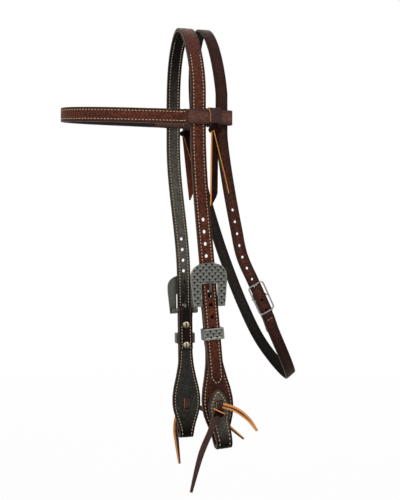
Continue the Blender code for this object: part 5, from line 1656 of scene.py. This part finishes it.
class HEADSTALL_OT_screws(bpy.types.Operator):
    """Make the domed, slotted screw heads, and plate their posts"""

    bl_idname = "headstall.screws"
    bl_label = "Screws"

    def execute(self, context):
        for side in SIDES:
            spot = cheek_place(side)
            for name, down in (("upper", UPPER_SCREW), ("lower", LOWER_SCREW)):
                head = make_object(f"{side.name}_{name}_head", [self.shell(spot, down)])
                dress(head, look("nickel"), "headstall", "nickel", f"{side.name}_{name}_screw_head")
                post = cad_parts[f"{side.name}_{name}_screw_post"]
                post.data.materials.clear()
                post.data.materials.append(look("nickel"))
        return {"FINISHED"}

    def shell(self, spot, down):
        """A dome whose height falls as the square root of one less the square of its radius."""
        share = np.concatenate([
            np.linspace(0.02, 0.9, 14), np.sin(np.linspace(1.12, math.pi / 2, 6))])
        turn = np.linspace(0.0, 2 * math.pi, 48, endpoint=False)
        x = SCREW_HEAD * share[:, None] * np.cos(turn)
        z = SCREW_HEAD * share[:, None] * np.sin(turn)
        high = SCREW_HEAD_HEIGHT * np.sqrt(np.clip(1 - share ** 2, 0.0, 1.0))[:, None] + 0 * x
        slot = smooth_step((SCREW_SLOT_HALF - np.abs(x)) / (0.2 * MM))
        slot = slot * smooth_step((SCREW_SLOT_REACH - np.abs(z)) / MM)
        high = np.maximum(high - slot * SCREW_SLOT_DEPTH, 0.15 * MM)
        face = place(spot, x, SCREW_HEAD_BASE - high, z + down)
        rim = place(spot, x[-1:], SCREW_HEAD_BASE, z[-1:] + down)
        shank = [
            place(spot, x[-1:] * SCREW_SHANK_SHARE, SCREW_HEAD_BASE + deep,
                  z[-1:] * SCREW_SHANK_SHARE + down)
            for deep in (0.0, SCREW_SHANK_LENGTH)
        ]
        rings = np.concatenate([face, rim] + shank)
        # A painted highlight above the middle and a painted dark reflection round the lower rim,
        # darker in the slot
        away = np.hypot(x, z + 1.3 * MM) / SCREW_HEAD
        bright = np.zeros(rings.shape[:2] + (2,))
        bright[:len(x), :, 0] = smooth_step(1.15 - away) * (1 - slot)
        return plain_shell(rings, edge=bright)


# Thong ties

def thong(points, hints, halves, ply=THONG_PLY, borders=(0.0, 0.0), turn=1.0):
    """A flat thong with square cut edges; a border widens the raw edge onto its faces.

    The first border is for the side that across points away from, the second for the other.
    """
    shell = strap_shell(frames_along(points, hints, turn), halves, -ply / 2, ply / 2,
                        corner=0.3 * MM, inset=1.4 * MM)
    shell.edge[:, 0] -= np.where(shell.lie[:, 1] < 0, borders[0], borders[1])
    return shell


def knot_shell(middle, across, out, down, size, radius):
    """A pulled knot: a round thong along a flattened trefoil.

    The trefoil is sin t + 2 sin 2t across, cos t - 2 cos 2t down and -sin 3t out.
    """
    t = np.linspace(0.0, 2 * math.pi, 61)[:-1, None]
    line = (
        middle + across * (np.sin(t) + 2 * np.sin(2 * t)) * size / 3
        + down * (np.cos(t) - 2 * np.cos(2 * t)) * size / 4.5 - out * np.sin(3 * t) * size / 4
    )
    knot = wire_shell(line, radius, 10, True)
    knot.edge[:] = 1.0
    # Two half raw stripes along the round
    knot.edge[::5, 0] = 0.2 * MM
    return knot


def taper(points, half, tip, start):
    """Half widths that stay full to a share of the way, then narrow to the tip."""
    walked = np.concatenate([[0.0], np.cumsum(np.linalg.norm(np.diff(points, axis=0), axis=1))])
    share = np.clip((walked / walked[-1] - start) / (1 - start), 0.0, 1.0)
    return half + (tip - half) * share ** 1.3


class HEADSTALL_OT_bit_ties(bpy.types.Operator):
    """Make the thongs that close both bit ends, with their knots and tails"""

    bl_idname = "headstall.bit_ties"
    bl_label = "Bit ties"

    def execute(self, context):
        for side in SIDES:
            shells = self.bight(side) + self.tails(side)
            dress(make_object(f"{side.name}_bit_thong", shells), look("latigo"), "headstall",
                  "thong", f"{side.name}_bit_tie")
            dress(make_object(f"{side.name}_bit_knot", [self.knot(side)]), look("tail"),
                  "headstall", "thong")
        return {"FINISHED"}

    def bight(self, side):
        """A flat ring through both slots, and a slanted wrap over its front."""
        spot = cheek_place(side)
        inside = -FIT - THONG_PLY / 2
        outside = FLAP_OUT + FIT + THONG_PLY / 2
        middle = (UPPER_TIE_HOLE + LOWER_TIE_HOLE) / 2
        reach = (LOWER_TIE_HOLE - UPPER_TIE_HOLE) / 2
        ring = rounded_ring((outside - inside) / 2, reach, 1.6 * MM, 60)
        ring = np.vstack([ring, ring[:1]])
        points = place(spot, 0.0, ring[:, 0] + (outside + inside) / 2, ring[:, 1] + middle)
        raw = (-0.4 if side.sign < 0 else -0.25) * MM
        loop = thong(points, spot.across, THONG_WIDTH / 2 * 0.94, borders=(-0.15 * MM, raw))
        turn = np.linspace(0.1, math.pi - 0.1, 25)
        # The wrap's height over the ring is the root of a half sine
        x = -WRAP_REACH * np.cos(turn) - WRAP_FORWARD
        out = outside + 0.2 * MM + WRAP_RISE * np.sin(turn) ** 0.5
        wrap = place(spot, x, out, middle + WRAP_DROP + x * WRAP_SLOPE)
        return [loop, thong(wrap, spot.out, WRAP_HALF, WRAP_HALF)]

    def knot(self, side):
        """The pulled knot that lies on the wrap, a little ahead of the strap's middle."""
        spot = cheek_place(side)
        out = FLAP_OUT + FIT + THONG_PLY / 2 + BIT_KNOT_RISE
        low = (UPPER_TIE_HOLE + LOWER_TIE_HOLE) / 2 + BIT_KNOT_DROP
        middle = place(spot, -BIT_KNOT_FORWARD, out, low)
        return knot_shell(middle, spot.across, spot.out, spot.down, *BIT_KNOT)

    def tails(self, side):
        """The hanging tail and the one that stands out to the rear, each through its own points."""
        spot = cheek_place(side)
        out = FLAP_OUT + FIT + THONG_PLY * 1.5
        middle = (UPPER_TIE_HOLE + LOWER_TIE_HOLE) / 2
        start = np.array((0.0, out, middle))
        shells = []
        near = side.sign < 0
        for shares, rear in zip(TAIL_SHARES[side.name], (False, True)):
            knots = place(spot, *(start + np.array(shares) * TAIL_REACH).T)
            points = bezier_through(knots, knots[1] - knots[0], knots[-1] - knots[-2], 10)
            # The hanging tail starts under the knot
            points = points if rear else points[2:]
            halves = taper(points, REAR_HALF if rear else HANGING_HALF, TAIL_TIP, 0.45)
            hints = spot.down if rear else spot.across
            plain = (1.6, 1.6) if rear else (-0.35, -0.35)
            borders = plain if near else (2.2, -0.5)
            tail = thong(points, hints, halves, borders=np.array(borders) * MM)
            if rear and not near:
                # The off thong shows no raw edge until it is clear of the paddle: painted shade of
                # the paddle
                tail.edge[:, 0] += 3 * MM * (tail.lie[:, 0] < 0.5 * TAIL_REACH)
            shells.append(tail)
        return shells


class HEADSTALL_OT_browband_ties(bpy.types.Operator):
    """Make the thongs wound round the browband's tabs, with their hanging tails"""

    bl_idname = "headstall.browband_ties"
    bl_label = "Browband ties"

    def execute(self, context):
        for side in SIDES:
            dress(make_object(f"{side.name}_browband_thong", self.winding(side)), look("latigo"),
                  "browband", "thong", f"{side.name}_browband_tie")
            dress(make_object(f"{side.name}_browband_tails", self.tails(side)), look("tail"),
                  "browband", "thong")
        return {"FINISHED"}

    def winding(self, side):
        """A band round the doubled tab, wider and further back over its outer face."""
        spot = tab_place(side)
        inner = TAB_MID_IN - LINING_PLY / 2 - FIT - TIE_PLY / 2
        outer = TAB_MID_OUT + LINING_PLY / 2 + FIT + TIE_PLY / 2
        high = BROW_HALF + FIT + TIE_PLY / 2
        ring = rounded_ring((outer - inner) / 2, high, 1.8 * MM, 72)
        ring = np.vstack([ring, ring[:1]])
        front = smooth_step(ring[:, 0] / (outer - inner) + 0.5)
        # The front edge bulges forward where it turns over the top
        over = smooth_step((-ring[:, 1] / high - 0.5) / 0.5)
        x = TIE_FRONT + TIE_WIDTH / 2 + front * TIE_FRONT_SHIFT - over * TIE_TOP_BULGE
        points = place(spot, x, ring[:, 0] + (outer + inner) / 2, ring[:, 1])
        halves = TIE_WIDTH / 2 + front * TIE_FRONT_WIDER + over * TIE_TOP_BULGE
        loop = thong(points, REAR, halves, TIE_PLY, (0.0, -0.5 * MM))
        # No raw edge shows beneath the tab
        under = (loop.points - spot.origin) @ spot.down > BROW_HALF - 1.5 * MM
        loop.edge[:, 0] += under * MM
        return [loop]

    def tails(self, side):
        """A knot under the tab, and the straight and the crossed tail that hang from it."""
        spot = tab_place(side)
        outer = TAB_MID_OUT + LINING_PLY / 2 + FIT
        low = BROW_HALF + FIT + TIE_PLY
        x = TIE_FRONT + TIE_WIDTH / 2
        share = np.linspace(0.0, 1.0, 24)
        shells = []
        tip = np.clip((share - 0.84) / 0.16, 0.0, 1.0)
        near = side.sign < 0
        knot_drop = (3.0 if near else 1.8) * MM
        out = outer + TIE_PLY + TIE_KNOT_RISE
        knot = place(spot, x + TIE_KNOT_REAR, out, low + knot_drop)
        shells.append(knot_shell(knot, spot.across, spot.out, spot.down, *TIE_KNOT))
        # Start, out, length, drift, half width, ply, the way that it is wide, borders and turn
        straight = (
            x + 1.6 * MM, 3.6 * MM, STRAIGHT_TAIL, side.straight_drift, TIE_TAIL_HALF, 1.6 * MM,
            REAR, (0.9 * MM if near else -0.4 * MM, -0.5 * MM), side.sign)
        if near:
            crossed = (
                x, 3.9 * MM, CROSSED_TAIL, side.crossed_drift, 2.2 * MM, 0.8 * MM, spot.out,
                (0.2 * MM, 0.2 * MM), side.sign)
        else:
            crossed = (
                x + 2.2 * MM, 1.0 * MM, CROSSED_TAIL, side.crossed_drift, TIE_TAIL_HALF, 1.4 * MM,
                REAR, (0.0, -0.5 * MM), -side.sign)
        for start, out, length, drift, half, ply, hint, borders, turn in (straight, crossed):
            down = low + TIE_TAILS_START + (length - TIE_TAILS_START) * share
            points = place(spot, start + drift * share, outer + out, down)
            # The end is cut slanting, to a point on the front edge
            points[:, 0] -= tip * (half - TIE_TAIL_TIP) * abs(hint[0])
            halves = half - (half - TIE_TAIL_TIP) * tip
            shells.append(thong(points, hint, halves, ply, borders, turn))
        return shells


# Stage

def white_rays(tree):
    """1 for the rays that see white: the camera's, and those off metal and through glass."""
    seen = add(tree, "ShaderNodeLightPath")
    shown = seen.outputs["Is Camera Ray"]
    for ray in ("Is Glossy Ray", "Is Transmission Ray"):
        shown = add(
            tree, "ShaderNodeMath", links=[(0, shown), (1, seen.outputs[ray])],
            operation="MAXIMUM",
        ).outputs[0]
    return shown


def camera_white(name, colour):
    """Matt paint that the camera, metal and glass see as white, all but wholly where shadows fall.

    The share of white grows with the distance from the middle, so that the floor has no far edge.
    """
    made, tree, shader = new_material(name, Roughness=0.9, Base_Color=rgba(colour))
    shown = white_rays(tree)
    spot = add(tree, "ShaderNodeTexCoord").outputs["Object"]
    away = add(tree, "ShaderNodeVectorMath", links=[(0, spot)], operation="LENGTH").outputs["Value"]
    share = add(
        tree, "ShaderNodeMapRange",
        [("From Min", 0.7), ("From Max", 2.0), ("To Min", 0.9), ("To Max", 1.0)],
        [("Value", away)],
    ).outputs["Result"]
    amount = add(tree, "ShaderNodeMath", links=[(0, shown), (1, share)], operation="MULTIPLY")
    glow = add(tree, "ShaderNodeEmission", [("Color", (1.0, 1.0, 1.0, 1.0)), ("Strength", 1.0)])
    mixed = add(
        tree, "ShaderNodeMixShader",
        links=[(0, amount.outputs[0]), (1, shader.outputs[0]), (2, glow.outputs[0])],
    )
    tree.links.new(mixed.outputs[0], tree.nodes["Material Output"].inputs["Surface"])
    return made


class HEADSTALL_OT_stage(bpy.types.Operator):
    """Make the floor, the lamps, the white surround and the camera"""

    bl_idname = "headstall.stage"
    bl_label = "Stage"

    def execute(self, context):
        low = CAD_BOX[0].z - FLOOR_GAP
        signs = ((-1, -1), (1, -1), (1, 1), (-1, 1))
        corners = [(x * FLOOR_REACH, y * FLOOR_REACH, low) for x, y in signs]
        mesh = bpy.data.meshes.new("floor")
        mesh.from_pydata(corners, [], [(0, 1, 2, 3)])
        floor = bpy.data.objects.new("floor", mesh)
        context.scene.collection.objects.link(floor)
        mesh.materials.append(
            camera_white("studio_floor_matt_paint", context.scene.headstall_colours.floor))
        self.surround(context)
        for lamp in LAMPS:
            self.lamp(*lamp)
        camera = bpy.data.objects.new("camera", bpy.data.cameras.new("camera"))
        camera.data.lens = FOCAL_LENGTH
        camera.data.clip_start = 0.01
        camera.location = CAMERA_PLACE
        camera.rotation_euler = (math.pi / 2, 0.0, CAMERA_TURN)
        context.scene.collection.objects.link(camera)
        context.scene.camera = camera
        context.scene.view_settings.view_transform = "Standard"
        return {"FINISHED"}

    def surround(self, context):
        """White to the camera and in reflections; softer as light on the object."""
        world = bpy.data.worlds.new("studio")
        context.scene.world = world
        world.use_nodes = True
        tree = world.node_tree
        strength = add(
            tree, "ShaderNodeMapRange", [("To Min", 0.5), ("To Max", 1.0)],
            [("Value", white_rays(tree))],
        )
        background = tree.nodes["Background"]
        background.inputs["Color"].default_value = (1.0, 1.0, 1.0, 1.0)
        tree.links.new(strength.outputs["Result"], background.inputs["Strength"])

    def lamp(self, name, spot, power, size):
        """A square area lamp, turned to the middle of the headstall."""
        data = bpy.data.lights.new(name, "AREA")
        data.energy, data.size = power, size
        lamp = bpy.data.objects.new(name, data)
        lamp.location = spot
        middle = (CAD_BOX[0] + CAD_BOX[1]) / 2
        lamp.rotation_euler = (middle - lamp.location).to_track_quat("-Z", "Y").to_euler()
        bpy.context.scene.collection.objects.link(lamp)


class HEADSTALL_PT_panel(bpy.types.Panel):
    """Lists the headstall's sizes, colours and pieces"""

    bl_idname = "HEADSTALL_PT_panel"
    bl_label = "Headstall"
    bl_space_type = "VIEW_3D"
    bl_region_type = "UI"
    bl_category = "Headstall"

    def draw(self, context):
        for group in (context.scene.headstall_sizes, context.scene.headstall_colours):
            box = self.layout.box()
            for name in group.bl_rna.properties.keys():
                if name not in ("rna_type", "name"):
                    box.prop(group, name)
        for operator in OPERATORS:
            self.layout.operator(operator.bl_idname)


OPERATORS = (
    HEADSTALL_OT_crown, HEADSTALL_OT_browband, HEADSTALL_OT_throatlatch, HEADSTALL_OT_throat_buckle,
    HEADSTALL_OT_cheeks, HEADSTALL_OT_cart_buckles, HEADSTALL_OT_keepers, HEADSTALL_OT_screws,
    HEADSTALL_OT_bit_ties, HEADSTALL_OT_browband_ties, HEADSTALL_OT_stage,
)
CLASSES = (HeadstallSizes, HeadstallColours) + OPERATORS + (HEADSTALL_PT_panel,)


def register():
    """Add the classes, and the two groups of settings that the scene keeps."""
    for kind in CLASSES:
        bpy.utils.register_class(kind)
    bpy.types.Scene.headstall_sizes = bpy.props.PointerProperty(type=HeadstallSizes)
    bpy.types.Scene.headstall_colours = bpy.props.PointerProperty(type=HeadstallColours)


def unregister():
    """Take back what register added."""
    del bpy.types.Scene.headstall_sizes
    del bpy.types.Scene.headstall_colours
    for kind in reversed(CLASSES):
        bpy.utils.unregister_class(kind)


def main():
    """Make every piece and the stage."""
    register()
    for operator in OPERATORS:
        getattr(bpy.ops.headstall, operator.bl_idname.split(".")[1])()


if __name__ == "__main__":
    main()
